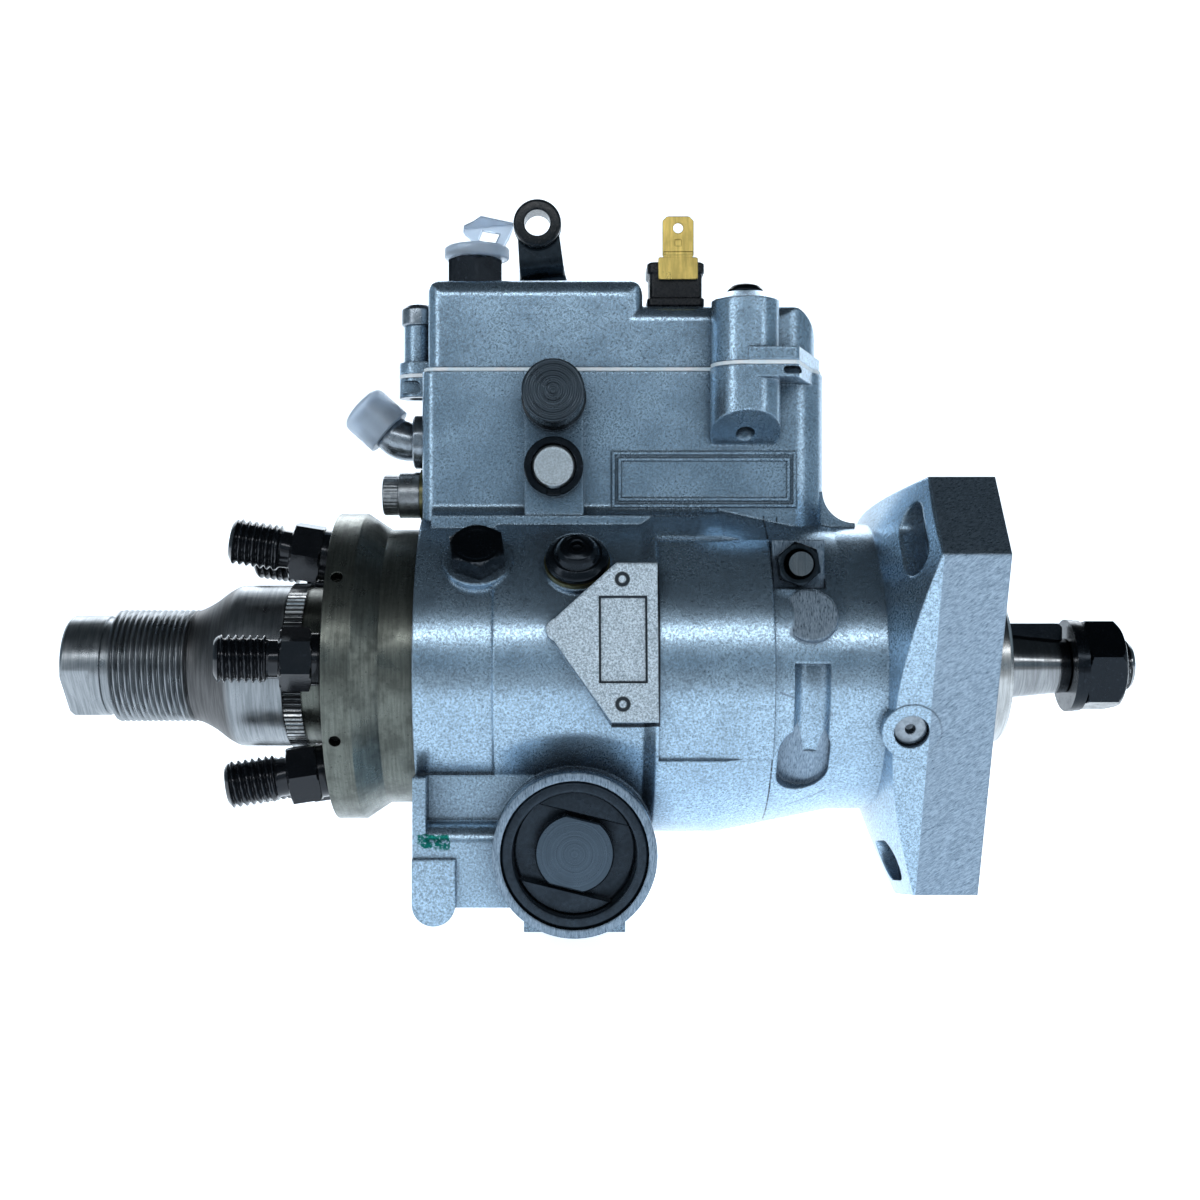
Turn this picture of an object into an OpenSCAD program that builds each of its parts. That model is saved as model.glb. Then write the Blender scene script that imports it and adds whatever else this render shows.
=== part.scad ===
// Rotary distributor injection pump with six outlets.
// X is the drive shaft's axis and points to the drive end, Z points up to the governor cover.
// The origin lies on the shaft's axis, in the front face of the mounting flange.

/* [Mounting flange] */
// Thickness of the flange
flange_t = 16; // [13:0.5:20]
// Distance from the axis to the end of each ear
ear_reach = 60.8; // [60:0.1:76]
// Turn of the first ear above the far side
ear_turn = 21; // [0:0.1:40]
// Radius of the circle that the slots lie on
slot_circle_r = 52; // [50:0.5:54]
// Width of each mounting slot
slot_w = 10.4; // [8.6:0.1:12.6]
// Length of each mounting slot, end to end
slot_len = 20.8; // [17:0.1:25]
// Radius of the steel pilot in front of the flange
pilot_r = 20.6; // [19:0.1:25]
// Length of the pilot in front of the flange
pilot_len = 10; // [8:0.5:12]

/* [Body] */
// Length of the cast body, from the flange to the head
body_len = 143.4; // [140:0.1:175]
// Radius of the cast barrel over the cam
barrel_r = 42.4; // [41:0.1:51]
// Radius of the governor chamber inside the barrel
chamber_r = 34.5; // [34:0.1:35.5]
// Radius of the bore that carries the cam ring
cam_seat_r = 32.55; // [31.5:0.05:33.5]
// Half width of the governor box
box_half = 17; // [16.5:0.1:20]
// Height of the joint between the box and its cover
joint_z = 77.2; // [74:0.1:93]
// Wall of the governor box and of its cover
box_wall = 3.5; // [2.8:0.1:4.2]

/* [Cover] */
// Height of the low drive end of the cover
cover_low_h = 16.7; // [15:0.1:20]
// Height of the high rear end of the cover
cover_high_h = 23.4; // [21:0.1:28]
// Thickness of the gasket under the cover
gasket_t = 1; // [0.8:0.1:1.2]

/* [Drive shaft] */
// Radius of the shaft's journal in the pilot tube
journal_r = 11; // [10:0.1:12]
// Radius of the taper at its large end
taper_r = 9.7; // [8.5:0.1:9.9]
// Radius of the nut's thread
thread_r = 7; // [6:0.1:7.2]
// End of the thread in front of the flange
shaft_end = 46.2; // [45:0.1:57]
// Across flats of the shaft nut
nut_af = 22; // [19:1:24]

/* [Hydraulic head] */
// Radius of the head's rim
rim_r = 40.9; // [40.5:0.1:49]
// Radius of the rotor in its bore
rotor_r = 12; // [10.5:0.1:13]
// Radius at which the outlets leave the head
outlet_circle_r = 32.2; // [32:0.1:34]
// Splay of each outlet from the axis
outlet_splay = 10; // [5:1:12]
// Radius of an outlet's thread
outlet_thread_r = 6; // [5:0.1:6.5]

/* [Advance] */
// Drop of the advance bore below the axis
advance_drop = 43.9; // [43.5:0.1:52]
// Radius of the advance piston
piston_r = 10; // [8.4:0.1:10.4]
// Radius of the boss round each advance cap
advance_boss_r = 20; // [19.5:0.1:24]

/* [Throttle] */
// Length of the throttle lever, from shaft to ring
lever_len = 56.7; // [47:0.1:68]
// Radius of the throttle shaft
throttle_r = 4; // [3.3:0.1:4.8]

/* [Hidden] */
$fn = 64;

// Clearances
running = 0.05;
loose = 0.3;
over = 1;

// Stations along the axis
rear_x = -body_len;
cam_x = rear_x + 39.9;
cam_w = 14;
insert_x = rear_x + 30;
chamber_x = cam_x + cam_w / 2;
box_front_x = -37.5;
front_wall_x = box_front_x - box_wall;
step_x = rear_x + 19.4;
head_rear_x = rear_x - 24.1;

// Barrel
barrel_front_r = barrel_r - 4.1;
bulge_r = barrel_r + 1.9;
flange_edge = barrel_front_r + 3;
flare_x = -flange_t - 10;

// Governor box and cover
box_rear_r = 4;
box_front_r = 12;
pad_y = -box_half - 3;
cover_z = joint_z + gasket_t;
cover_inset = 0.7;
cover_rear_x = rear_x + 1.5;
cover_front_x = box_front_x - 2;
cover_step_x = rear_x + 57.7;
low_top_z = cover_z + cover_low_h;
high_top_z = cover_z + cover_high_h;
edge_r = 4.5;
end_r = 2.7 * box_wall;
screw_x = -59.6;
screw_y = box_half + 4.3;
screw_boss_r = 9;
screw_r = 2.5;
screw_head_z = low_top_z + 1.7;
rear_screw_x = rear_x - 2.2;
rear_boss_r = 3.9;
rear_ear_r = 5.2;
rear_head_z = cover_z + 13.3;
rear_head_r = 4.6;

// Governor
pivot_x = -47.8;
pivot_z = 26.6;
pivot_r = 3;
pivot_pad_y = 31.4;
sleeve_r = 12;
stem_r = 9;
sleeve_front_x = -53.5;
sleeve_rear_x = cam_x + 20.5;
retainer_x = cam_x + 11.5;
retainer_r = 30;
weight_pivot_x = retainer_x + 5.5;
weight_pivot_r = 25;
weight_count = 6;
arm_top_z = joint_z - 15.2;
hook_y = 7.5;

// Metering valve and throttle
valve_x = rear_x + 18;
valve_r = 5;
valve_pin_y = 8;
throttle_x = cam_x - 5.3;
throttle_z = joint_z - 7.8;
plug_z = joint_z - 25.7;
elbow_z = joint_z - 16.9;
elbow_tilt = 48;
socket_z = joint_z - 31.2;
lever_y = 33;
lever_tilt = 5.5;

// Head
outlet_count = 6;
first_outlet = 5;
neck_r = rim_r - 4.3;
insert_r = chamber_r - 0.05;
cap_x = rear_x - 35.4;
cap_end_x = cap_x - 60.2;
cap_base_r = 21.6;
inlet_thread_r = 15;
inlet_bore_r = 9;
liner_r = 17;
lock_teeth = 90;

// Cam and plungers
cam_r = cam_seat_r - running;
cam_base_r = 28;
cam_lift = 2.5;
cam_lobes = 6;
plunger_r = 4;
roller_r = 4;
roller_at = cam_base_r - cam_lift - roller_r - 0.1;
shoe_z = roller_at - roller_r - 3.2;
rotor_head_r = 20;

// Advance
advance_z = -advance_drop;
advance_face_y = 48;
cap_seat_y = 34;
cap_r = advance_boss_r - 2;
pin_r = 4;

// Angle above the horizontal at which the near bolts and plugs stand
bolt_angle = 41;
bolt_x = step_x - 3.8;
plug_angle = 38.5;
plug_x = cam_x + 0.6;
seat_lift = 0.6;

// Angle above the horizontal of the blank pads and ports on the near side
plate_angle = 10;

// Helpers

// Solid of revolution about the X axis, from points of radius and X
module turned(points) rotate([0, 90, 0]) rotate_extrude() polygon(points);

// Part turn about X, from one angle above the near horizontal to another
module part_turn(from, to) rotate([0, 90, 0]) rotate_extrude(angle = to - from, start = 270 - to) children();

module disc_x(x0, x1, r) translate([x0, 0, 0]) rotate([0, 90, 0]) cylinder(h = x1 - x0, r = r);

module ring_x(x0, x1, r_out, r_in) difference() {
    disc_x(x0, x1, r_out);
    disc_x(x0 - over, x1 + over, r_in);
}

module rod_y(x, z, y0, y1, r) translate([x, y1, z]) rotate([90, 0, 0]) cylinder(h = y1 - y0, r = r);

module post_z(x, y, z0, z1, r) translate([x, y, z0]) cylinder(h = z1 - z0, r = r);

module block(low, high) translate(low) cube(high - low);

module prism_x(x0, x1) translate([x0, 0, 0]) rotate([90, 0, 90]) linear_extrude(x1 - x0) children();

module prism_y(y0, y1) translate([0, y1, 0]) rotate([90, 0, 0]) linear_extrude(y1 - y0) children();

module hexagon(af, h) cylinder(h = h, r = af / 2 / cos(30), $fn = 6);

module slot_2d(len, w) {
    square([len - w, w], center = true);
    for (s = [-1, 1]) translate([s * (len - w) / 2, 0]) circle(w / 2);
}

// Frame whose Z points outward at an angle above the near horizontal
module radial(x, angle) translate([x, 0, 0]) rotate([90 - angle, 0, 0]) children();

// Both sides of the pump
module both_sides() {
    children();
    mirror([0, 1, 0]) children();
}

// Upright block with round corners in plan, rear and front radii apart
module plan_block(x0, x1, half, z0, z1, r_rear, r_front) {
    for (s = [-1, 1]) {
        post_z(x0 + r_rear, s * (half - r_rear), z0, z1, r_rear);
        post_z(x1 - r_front, s * (half - r_front), z0, z1, r_front);
    }
    block([x0 + r_rear, -half, z0], [x1 - r_front, half, z1]);
    block([x0, -half + r_rear, z0], [x0 + r_rear + over, half - r_rear, z1]);
    block([x1 - r_front - over, -half + r_front, z0], [x1, half - r_front, z1]);
}

// Outline with round upper corners, from a to b and up to top
module arch_2d(a, b, bottom, top, r_a, r_b) {
    translate([a, bottom]) square([b - a - r_b, top - bottom - r_a]);
    translate([a + r_a, bottom]) square([b - a - r_a - r_b, top - bottom]);
    translate([b - r_b - over, bottom]) square([r_b + over, top - bottom - r_b]);
    translate([a + r_a, top - r_a]) circle(r_a);
    translate([b - r_b, top - r_b]) circle(r_b);
}

// Block with round corners in plan and round edges on top
module lid_block(x0, x1, half, z0, z1, r_rear, r_front, r_top, r_end) intersection() {
    plan_block(x0, x1, half, z0, z1 + over, r_rear, r_front);
    prism_y(-half - over, half + over) arch_2d(x0, x1, z0 - over, z1, r_top, r_end);
    prism_x(x0 - over, x1 + over) arch_2d(-half, half, z0 - over, z1, r_top, r_top);
}

// Helical spring along Z, ground flat by its own rings
module coil_spring(len, mean_r, wire_r, turns) {
    steps = 14;
    sides = 6;
    count = steps * turns;
    rings = [for (i = [0:count]) let (a = 360 * i / steps, z = wire_r + (len - 2 * wire_r) * i / count)
        [for (j = [0:sides - 1]) let (b = 360 * j / sides, r = mean_r + wire_r * cos(b))
            [r * cos(a), r * sin(a), z + wire_r * sin(b)]]];
    points = [for (ring = rings) each ring];
    walls = [for (i = [0:count - 1], j = [0:sides - 1], half = [0, 1]) let (k = (j + 1) % sides)
        half == 0 ? [i * sides + j, i * sides + k, (i + 1) * sides + k]
            : [i * sides + j, (i + 1) * sides + k, (i + 1) * sides + j]];
    polyhedron(points, concat(walls, [[for (j = [sides - 1:-1:0]) j]],
        [[for (j = [0:sides - 1]) count * sides + j]]));
}

// Mounting flange

function polar(r, a) = [r * cos(a), r * sin(a)];
ear_half = (flange_edge - ear_reach / 2) / sin(60);
ear_corner_r = norm([ear_reach, ear_half]) + 1;

module flange_outline() polygon([for (k = [0:2], s = [-1, 1])
    polar(ear_reach, ear_turn + 120 * k) + polar(s * ear_half, ear_turn + 120 * k + 90)]);

module at_ears() for (k = [0:2]) rotate([ear_turn + 120 * k, 0, 0]) translate([0, slot_circle_r, 0]) children();

// Blank port in the flange's side
side_plug_r = 4.4;

module side_port() radial(-flange_t - 4.4, -ear_turn) translate([0, 0, flange_edge]) children();

module flange_side_boss() side_port() translate([0, 0, -12]) cylinder(h = 12.3, r = side_plug_r + 2.9);

module flange_cuts() {
    at_ears() prism_x(-60, over) rotate(90) slot_2d(slot_len, slot_w);
    side_port() translate([0, 0, -6]) cylinder(h = 8, r = side_plug_r);
}

// Cast body

// Turned barrel whose front flares into the flange and is trimmed to its outline
module barrel() intersection() {
    turned([
        [0, rear_x], [barrel_r - 0.8, rear_x], [barrel_r - 0.8, step_x], [barrel_r, step_x + 0.6],
        [barrel_r, cam_x + 17], [bulge_r, cam_x + 20], [bulge_r, cam_x + 37.5],
        [barrel_front_r, flare_x - 10], [barrel_front_r, flare_x], [ear_corner_r, -flange_t],
        [ear_corner_r, 0], [0, 0]
    ]);
    union() {
        disc_x(rear_x - over, flare_x - 0.5, bulge_r + 5);
        prism_x(flare_x - 1, over) flange_outline();
    }
}

// Smooth cylindrical land on the near side, with its ridge at the drive end
land_x = [cam_x + 20.7, cam_x + 49];
land_angle = [-30, 49.6];
land_r = bulge_r - 0.9;

module land_rise() part_turn(land_angle[0], land_angle[1])
    translate([land_r - 8, land_x[0]]) square([8, land_x[1] - land_x[0]]);

module land_cut() part_turn(land_angle[0], land_angle[1])
    translate([land_r, land_x[0]]) square([4, land_x[1] - land_x[0] - 1.6]);

module governor_box() {
    plan_block(rear_x, box_front_x, box_half, 20, joint_z, box_rear_r, box_front_r);
    both_sides() cover_post(58, joint_z, 7.8 / 13.3);
    both_sides() corner_ear(joint_z - 3.2, joint_z);
    rear_ear(joint_z - 5.2, joint_z);
    box_coves();
    both_sides() {
        block([throttle_x - 7.6, pad_y, 24], [throttle_x + 7.6, -box_half + over, throttle_z]);
        rod_y(throttle_x, throttle_z, pad_y, -box_half + over, 7.6);
    }
}

// Space inside the box and its cover
module box_cavity(z0, z1) plan_block(rear_x + box_wall, front_wall_x, box_half - box_wall, z0, z1,
    1.5, box_front_r - box_wall);

// Concave fillets where the box stands on the barrel
module box_coves() {
    difference() {
        block([box_front_x - 2, -box_half + 7, barrel_front_r - 4],
            [box_front_x + 8, box_half - 7, barrel_front_r + 8]);
        rod_y(box_front_x + 8.01, barrel_front_r + 8.3, -box_half, box_half, 8.6);
    }
    both_sides() difference() {
        block([rear_x + 3, -box_half - 3.5, barrel_r - 8], [cam_x + 37, -box_half + over, barrel_r + 0.6]);
        translate([0, -box_half - 3.51, barrel_r + 0.7]) disc_x(rear_x, cam_x + 40, 3.6);
    }
}

// Post for a cover screw, whose lower end slopes back to the wall
module cover_post(z0, z1, slope) difference() {
    post_z(screw_x, -screw_y, z0 - over, z1, screw_boss_r);
    translate([screw_x - 20, -box_half, z0]) rotate([-atan(slope), 0, 0])
        translate([0, -40, -40]) cube([40, 44, 40]);
}

// Straight-edged ear at the drive end's corners
ear_x = -48.4;

module corner_ear(z0, z1) translate([0, 0, z0]) linear_extrude(z1 - z0) polygon([
    [screw_x, -screw_y - screw_boss_r], [ear_x + 0.6, -screw_y - screw_boss_r],
    [ear_x + 1.6, -screw_y - screw_boss_r + 1], [box_front_x - 0.7, -5], [box_front_x - 3, -4], [screw_x, -4]
]);

// Pockets below the joint, where a lever lifts the cover
module pry_pockets() both_sides() {
    prism_y(-50, -screw_y - screw_boss_r + 4) translate([ear_x, joint_z - 1.4]) slot_2d(4.9, 1.9);
    prism_y(-50, -rear_ear_r + 2) translate([rear_screw_x - 2, joint_z - 2.6]) slot_2d(5.9, 3.4);
}

// Ear for the cover screw behind the box
module rear_ear(z0, z1) {
    post_z(rear_screw_x, 0, z0, z1, rear_ear_r);
    block([rear_screw_x, -rear_ear_r, z0], [rear_x + 3, rear_ear_r, z1]);
}

// Raised lines of the blank label field
field_x = [cam_x + 9.7, cam_x + 57.5];
field_z = [joint_z - 35.3, joint_z - 21];

module label_frame() for (g = [0, 1.6]) difference() {
    block([field_x[0] + g, -box_half - 0.5, field_z[0] + g],
        [field_x[1] - g, -box_half + over, field_z[1] - g]);
    block([field_x[0] + g + 0.7, -box_half - over, field_z[0] + g + 0.7],
        [field_x[1] - g - 0.7, -box_half, field_z[1] - g - 0.7]);
}

// Flat pad for a name plate, pointed at its rear
module plate_pad() radial(cam_x, plate_angle) {
    translate([0, 0, barrel_r - 10]) linear_extrude(11.7)
        polygon([[-5.2, 5.4], [10.2, 19.5], [20.4, 19.5], [20.4, -19.8], [9, -19.8], [-5.2, 0.4]]);
    translate([-4, 2.9, barrel_r - 9]) cylinder(h = 10.7, r = 2.9);
}

module plate_window() radial(cam_x, plate_angle) translate([6.2, -10, barrel_r + 1.2]) cube([11.3, 21, 3]);

// Blank machined pads and ports on the near side
module near_pads() {
    radial(pivot_x + 2.6, 20) translate([0, 0, 25]) cylinder(h = barrel_front_r - 22.4, r = 6.8);
    both_sides() block([pivot_x - 6.2, -pivot_pad_y, pivot_z - 6],
        [pivot_x + 7, -pivot_pad_y + 12, pivot_z + 6.2]);
    for (a = [bolt_angle, 180 - bolt_angle]) radial(bolt_x, a) cylinder(h = barrel_r + seat_lift, r = 8.9);
    radial(plug_x, plug_angle) cylinder(h = barrel_r + seat_lift, r = 8.6);
}

module near_cuts() {
    both_sides() block([pivot_x - 6.2, -pivot_pad_y - 12, pivot_z - 6],
        [pivot_x + 7, -pivot_pad_y, pivot_z + 6.2]);
    part_turn(-33, 3) translate([barrel_front_r + 3.4, pivot_x + 3.3]) circle(5);
    radial(pivot_x + 1.4, -34) translate([0, 0, barrel_front_r - 1.2])
        linear_extrude(8) rotate(90) slot_2d(20, 13.4);
    plate_window();
    radial(plug_x, plug_angle) translate([0, 0, barrel_r + seat_lift]) cylinder(h = 12, r = 8.6);
    pry_pockets();
}

// Cross boss that holds the advance piston, and the lug behind it
module advance_boss() {
    rod_y(cam_x, advance_z, -advance_face_y, advance_face_y, advance_boss_r);
    block([cam_x - 12.5, -38, advance_z - advance_boss_r - 0.4], [cam_x + 12.5, 38, advance_z]);
}

lug_y = [-40, -33.5];
lug_z = [-advance_drop - 14, -26];
lug_round = 5;
lug_shelf_z = lug_z[1] - 16;

module rear_lug() {
    block([rear_x, lug_y[0], lug_z[0]], [cam_x - 10, lug_y[0] + 9, lug_shelf_z]);
    translate([0, lug_y[0] + lug_round, lug_shelf_z]) disc_x(rear_x, cam_x - 10, lug_round);
    block([rear_x, lug_y[1], lug_shelf_z - 1], [cam_x - 10, -20, lug_z[1]]);
    block([rear_x, lug_y[0], lug_z[0]], [rear_x + 3.3, -8, lug_z[1]]);
    block([rear_x, lug_y[0] - 1.6, lug_z[0] + 1], [rear_x + 10.7, -28, lug_z[0] + 12]);
    rod_y(rear_x + 5.35, lug_z[0] + 1, lug_y[0] - 1.6, -28, 5.35);
}

module housing_bores() {
    disc_x(rear_x - over, insert_x + 0.5, chamber_r);
    disc_x(rear_x, chamber_x + over, cam_seat_r);
    disc_x(chamber_x, front_wall_x, chamber_r);
    disc_x(front_wall_x - over, over, pilot_seat_r);
    disc_x(-pilot_groove[1], over, pilot_r + pilot_groove[0]);
    box_cavity(36, joint_z + over);
    block([chamber_x + 2, -box_half + box_wall, 20], [front_wall_x - 2, box_half - box_wall, 45]);
    block([valve_x - 9, -11, 20], [valve_x + 9, 11, 45]);
    rod_y(cam_x, advance_z, -advance_face_y - over, advance_face_y + over, piston_r + running);
    both_sides() rod_y(cam_x, advance_z, -advance_face_y - over, -cap_seat_y, cap_r);
    block([cam_x - 5, -6, advance_z], [cam_x + 5, 13, -20]);
    rod_y(pivot_x, pivot_z, -50, 50, pivot_r + running);
    rod_y(throttle_x, throttle_z, -50, 50, throttle_r + running);
    rod_y(throttle_x, plug_z, -50, -box_half + 2.1, 4.5);
    rod_y(throttle_x, plug_z, -60, pad_y, 7.7);
    for (a = [bolt_angle, 180 - bolt_angle]) radial(bolt_x, a) cylinder(h = 60, r = 4 + running);
    radial(plug_x, plug_angle) cylinder(h = 60, r = 5);
    both_sides() post_z(screw_x, -screw_y, 50, joint_z + over, screw_r);
    post_z(rear_screw_x, 0, 60, joint_z + over, screw_r);
    translate([0, 0, socket_z]) disc_x(rear_x - over, rear_x + 8, 4);
    translate([0, 0, elbow_z]) disc_x(rear_x - over, rear_x + 8, 4);
}

module pump_housing() color("lightsteelblue") difference() {
    union() {
        difference() {
            union() {
                barrel();
                land_rise();
            }
            land_cut();
        }
        flange_side_boss();
        governor_box();
        label_frame();
        plate_pad();
        near_pads();
        advance_boss();
        rear_lug();
    }
    near_cuts();
    flange_cuts();
    housing_bores();
}

// Drive end

// The tube's collar stands in a groove of the flange, so that the mating face lies flat
pilot_seat_r = pilot_r - 0.6;
pilot_groove = [0.4, 0.8];

module pilot_tube() color("silver") turned([
    [journal_r + running, -40], [pilot_seat_r, -40], [pilot_seat_r, 0], [pilot_r, 0], [pilot_r, pilot_len - 1],
    [pilot_r - 1, pilot_len],
    [15, pilot_len], [15, -8], [journal_r + running, -8]
]);

module rubber_seals() color("dimgray") {
    for (x = [-7.5, -1.5]) turned([
        [15, x], [15, x + 5], [14, x + 5], [14, x + 1.2], [12.4, x + 1.2], [11.8, x + 3.5],
        [journal_r + running, x + 3.2], [journal_r + running, x + 2.6], [12, x]
    ]);
    turned([
        [insert_r - 2, rear_x + 6.6], [insert_r, rear_x + 6.6],
        [insert_r, rear_x + 8.8], [insert_r - 2, rear_x + 8.8]
    ]);
}

taper_start = 3.6;
taper_end = 28.8;
taper_small_r = taper_r - (taper_end - taper_start) / 10;

module drive_shaft() color("silver") difference() {
    union() {
        turned([
            [0, retainer_x - 0.5], [stem_r, retainer_x - 0.5], [stem_r, front_wall_x - 3],
            [journal_r + 2.5, front_wall_x - 3], [journal_r + 2.5, front_wall_x + 0.2],
            [journal_r, front_wall_x + 0.2], [journal_r, taper_start - 0.6], [taper_r, taper_start],
            [taper_small_r, taper_end], [thread_r, taper_end], [thread_r, shaft_end - 1.2],
            [thread_r - 1.2, shaft_end], [0, shaft_end]
        ]);
        block([retainer_x - 4.5, -7, -3], [retainer_x, 7, 3]);
    }
    key_shape(0);
}

key_top = 11.4;

// The key lies along the shaft, and its seat takes the same block
module key_shape(gap) block([8.5 - gap, -2.5 - gap, 5.4], [27.5 + gap, 2.5 + gap, key_top]);

module shaft_key() color("dimgray") intersection() {
    key_shape(0);
    prism_y(-4, 4) polygon([
        [8.5, 5.4], [27.5, 5.4], [27.5, key_top - 1], [26.5, key_top], [9.5, key_top], [8.5, key_top - 1]
    ]);
}

washer_r = 12.4;
nut_x = taper_end + 3.5;
nut_h = 10.4;
nut_turn = 17.7;

module shaft_washers() color("dimgray") {
    ring_x(taper_end + 0.1, taper_end + 1.7, washer_r, thread_r + 0.3);
    difference() {
        ring_x(taper_end + 1.8, nut_x - 0.1, washer_r - 0.2, thread_r + 0.3);
        block([taper_end + 1, -0.9, 0], [nut_x + 1, 0.9, washer_r + 2]);
    }
}

module shaft_nut() color("dimgray") difference() {
    intersection() {
        translate([nut_x, 0, 0]) rotate([0, 90, 0]) rotate(nut_turn) hexagon(nut_af, nut_h);
        turned([
            [0, nut_x], [nut_af / 2 + 0.6, nut_x], [nut_af / 2 + 2.4, nut_x + 1],
            [nut_af / 2 + 2.4, nut_x + nut_h - 2.2], [nut_af / 2 - 0.5, nut_x + nut_h], [0, nut_x + nut_h]
        ]);
    }
    disc_x(nut_x - over, nut_x + 20, thread_r);
}

// Governor

module thrust_sleeve() color("silver") turned([
    [stem_r + running, sleeve_rear_x], [15, sleeve_rear_x],
    [15, sleeve_rear_x + 3], [sleeve_r, sleeve_rear_x + 3],
    [sleeve_r, sleeve_front_x - 2.6], [17, sleeve_front_x - 2.6],
    [17, sleeve_front_x], [stem_r + running, sleeve_front_x]
]);

module weight_retainer() color("gray") {
    ring_x(retainer_x, retainer_x + 3.5, retainer_r, stem_r);
    ring_x(retainer_x + 3.4, retainer_x + 6, 11, stem_r);
    for (k = [0:weight_count - 1]) rotate([360 / weight_count * (k + 0.5), 0, 0])
        block([retainer_x + 3.4, 16.5, -1.25], [retainer_x + 18, retainer_r - 1, 1.25]);
}

// One flyweight: a heavy block ahead of its pivot and a toe that pushes the sleeve
module governor_weight(k) color("darkgray") rotate([360 / weight_count * (k - 1), 0, 0]) {
    block([weight_pivot_x, 19, -5.5], [weight_pivot_x + 15, 27, 5.5]);
    translate([weight_pivot_x, weight_pivot_r, -5.5]) cylinder(h = 11, r = 1.9);
    block([weight_pivot_x - 1.1, 12, -3], [weight_pivot_x + 3.05, 20, 3]);
}

leg_y = box_half - box_wall - 0.6;

// Forked arm that hangs on its pivot: two legs to the sleeve and one blade up to the hook
module governor_arm() color("gray") difference() {
    union() {
        both_sides() {
            prism_y(leg_y - 2.4, leg_y) polygon([
                [pivot_x - 3, pivot_z], [pivot_x + 3, pivot_z],
                [sleeve_front_x + 5, 0], [sleeve_front_x + 1.5, -2]
            ]);
            rod_y(sleeve_front_x + 2.8, 0, leg_y - 2.4, leg_y, 2.5);
        }
        rod_y(pivot_x, pivot_z, -leg_y, leg_y, 5);
        prism_y(4, 6) polygon([
            [pivot_x - 4, pivot_z], [pivot_x + 4, pivot_z],
            [pivot_x + 2.6, arm_top_z + 2.5], [pivot_x - 2.6, arm_top_z + 2.5]
        ]);
        rod_y(pivot_x, arm_top_z, 5, hook_y + 2.2, 1.5);
        translate([0, 0, spring_z]) disc_x(pivot_x - 4.3, pivot_x - 1, 4.6);
        translate([0, 0, spring_z]) disc_x(pivot_x - 9, pivot_x - 4, 1.8);
    }
    rod_y(pivot_x, pivot_z, -20, 20, pivot_r + running);
}

module arm_pivot_shaft() color("silver") rod_y(pivot_x, pivot_z, -40, 40, pivot_r);

module pivot_nuts() color("dimgray") both_sides() difference() {
    translate([pivot_x, -pivot_pad_y, pivot_z]) rotate([90, 0, 0]) rotate(10) hexagon(10, 5);
    rod_y(pivot_x, pivot_z, -60, 0, pivot_r);
}

// Link from the governor arm to the metering valve, open at the valve's pin
module linkage_hook() color("silver") difference() {
    union() {
        block([valve_x, hook_y - 0.7, arm_top_z - 2], [pivot_x, hook_y + 0.7, arm_top_z + 2]);
        rod_y(pivot_x, arm_top_z, hook_y - 0.7, hook_y + 0.7, 3);
        block([valve_x - 4, valve_pin_y - 4.2, arm_top_z - 2],
            [valve_x + 4, valve_pin_y + 4.2, arm_top_z - 0.6]);
    }
    rod_y(pivot_x, arm_top_z, 0, 12, 1.5 + running);
    block([valve_x - 1.6, valve_pin_y - 2.4, arm_top_z - 3], [valve_x + 1.6, valve_pin_y + 2.4, arm_top_z + 3]);
}

spring_z = throttle_z - 13;

module governor_spring() color("silver") translate([throttle_x + 4, 0, spring_z]) rotate([0, 90, 0])
    coil_spring(pivot_x - throttle_x - 8.5, 3, 0.6, 9);

module metering_valve() color("silver") {
    post_z(valve_x, 0, insert_r - 19, arm_top_z - 18, valve_r);
    translate([valve_x, valve_pin_y / 2, arm_top_z - 17]) linear_extrude(2, center = true)
        rotate(90) slot_2d(valve_pin_y + 7, 7);
    post_z(valve_x, valve_pin_y, arm_top_z - 17, arm_top_z + 1.5, 1.2);
}

// Throttle

module throttle_shaft() color("dimgray") {
    rod_y(throttle_x, throttle_z, -box_half - 4, lever_y + 6, throttle_r);
    difference() {
        union() {
            rod_y(throttle_x, throttle_z, -4, 4, 6.5);
            prism_y(-2.5, 2.5) polygon([
                [throttle_x - 4, throttle_z], [throttle_x + 4, throttle_z],
                [throttle_x + 3.4, spring_z - 3], [throttle_x - 3.4, spring_z - 3]
            ]);
        }
        rod_y(throttle_x, throttle_z, -5, 5, throttle_r);
    }
}

lever_top = [throttle_x - lever_len * sin(lever_tilt), throttle_z + lever_len * cos(lever_tilt)];
ring_hole_r = 3.75;
ring_r = 6.9;

module throttle_lever() color("dimgray") difference() {
    union() {
        rod_y(throttle_x, throttle_z, lever_y - 9, lever_y + 3, 8.5);
        translate([throttle_x, 0, throttle_z]) rotate([0, -lever_tilt, 0]) {
            block([-7.2, lever_y, 0], [7.2, lever_y + 3, lever_len - 12]);
            block([-7.2, lever_y - 4, lever_len - 15], [7.2, lever_y + 3, lever_len - 12]);
            block([-6.4, lever_y - 4, lever_len - 13], [6.4, lever_y - 1, lever_len - 3]);
        }
        rod_y(lever_top[0], lever_top[1], lever_y - 4, lever_y - 1, ring_r);
    }
    rod_y(throttle_x, throttle_z, 0, 80, throttle_r);
    rod_y(lever_top[0], lever_top[1], 0, 80, 5.2);
}

module lever_bush() color("black") difference() {
    union() {
        rod_y(lever_top[0], lever_top[1], lever_y - 7, lever_y + 2, 5.2);
        rod_y(lever_top[0], lever_top[1], lever_y - 7, lever_y - 4, ring_r);
    }
    rod_y(lever_top[0], lever_top[1], 0, 80, ring_hole_r);
}

cap_front_y = pad_y - 20;

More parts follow.
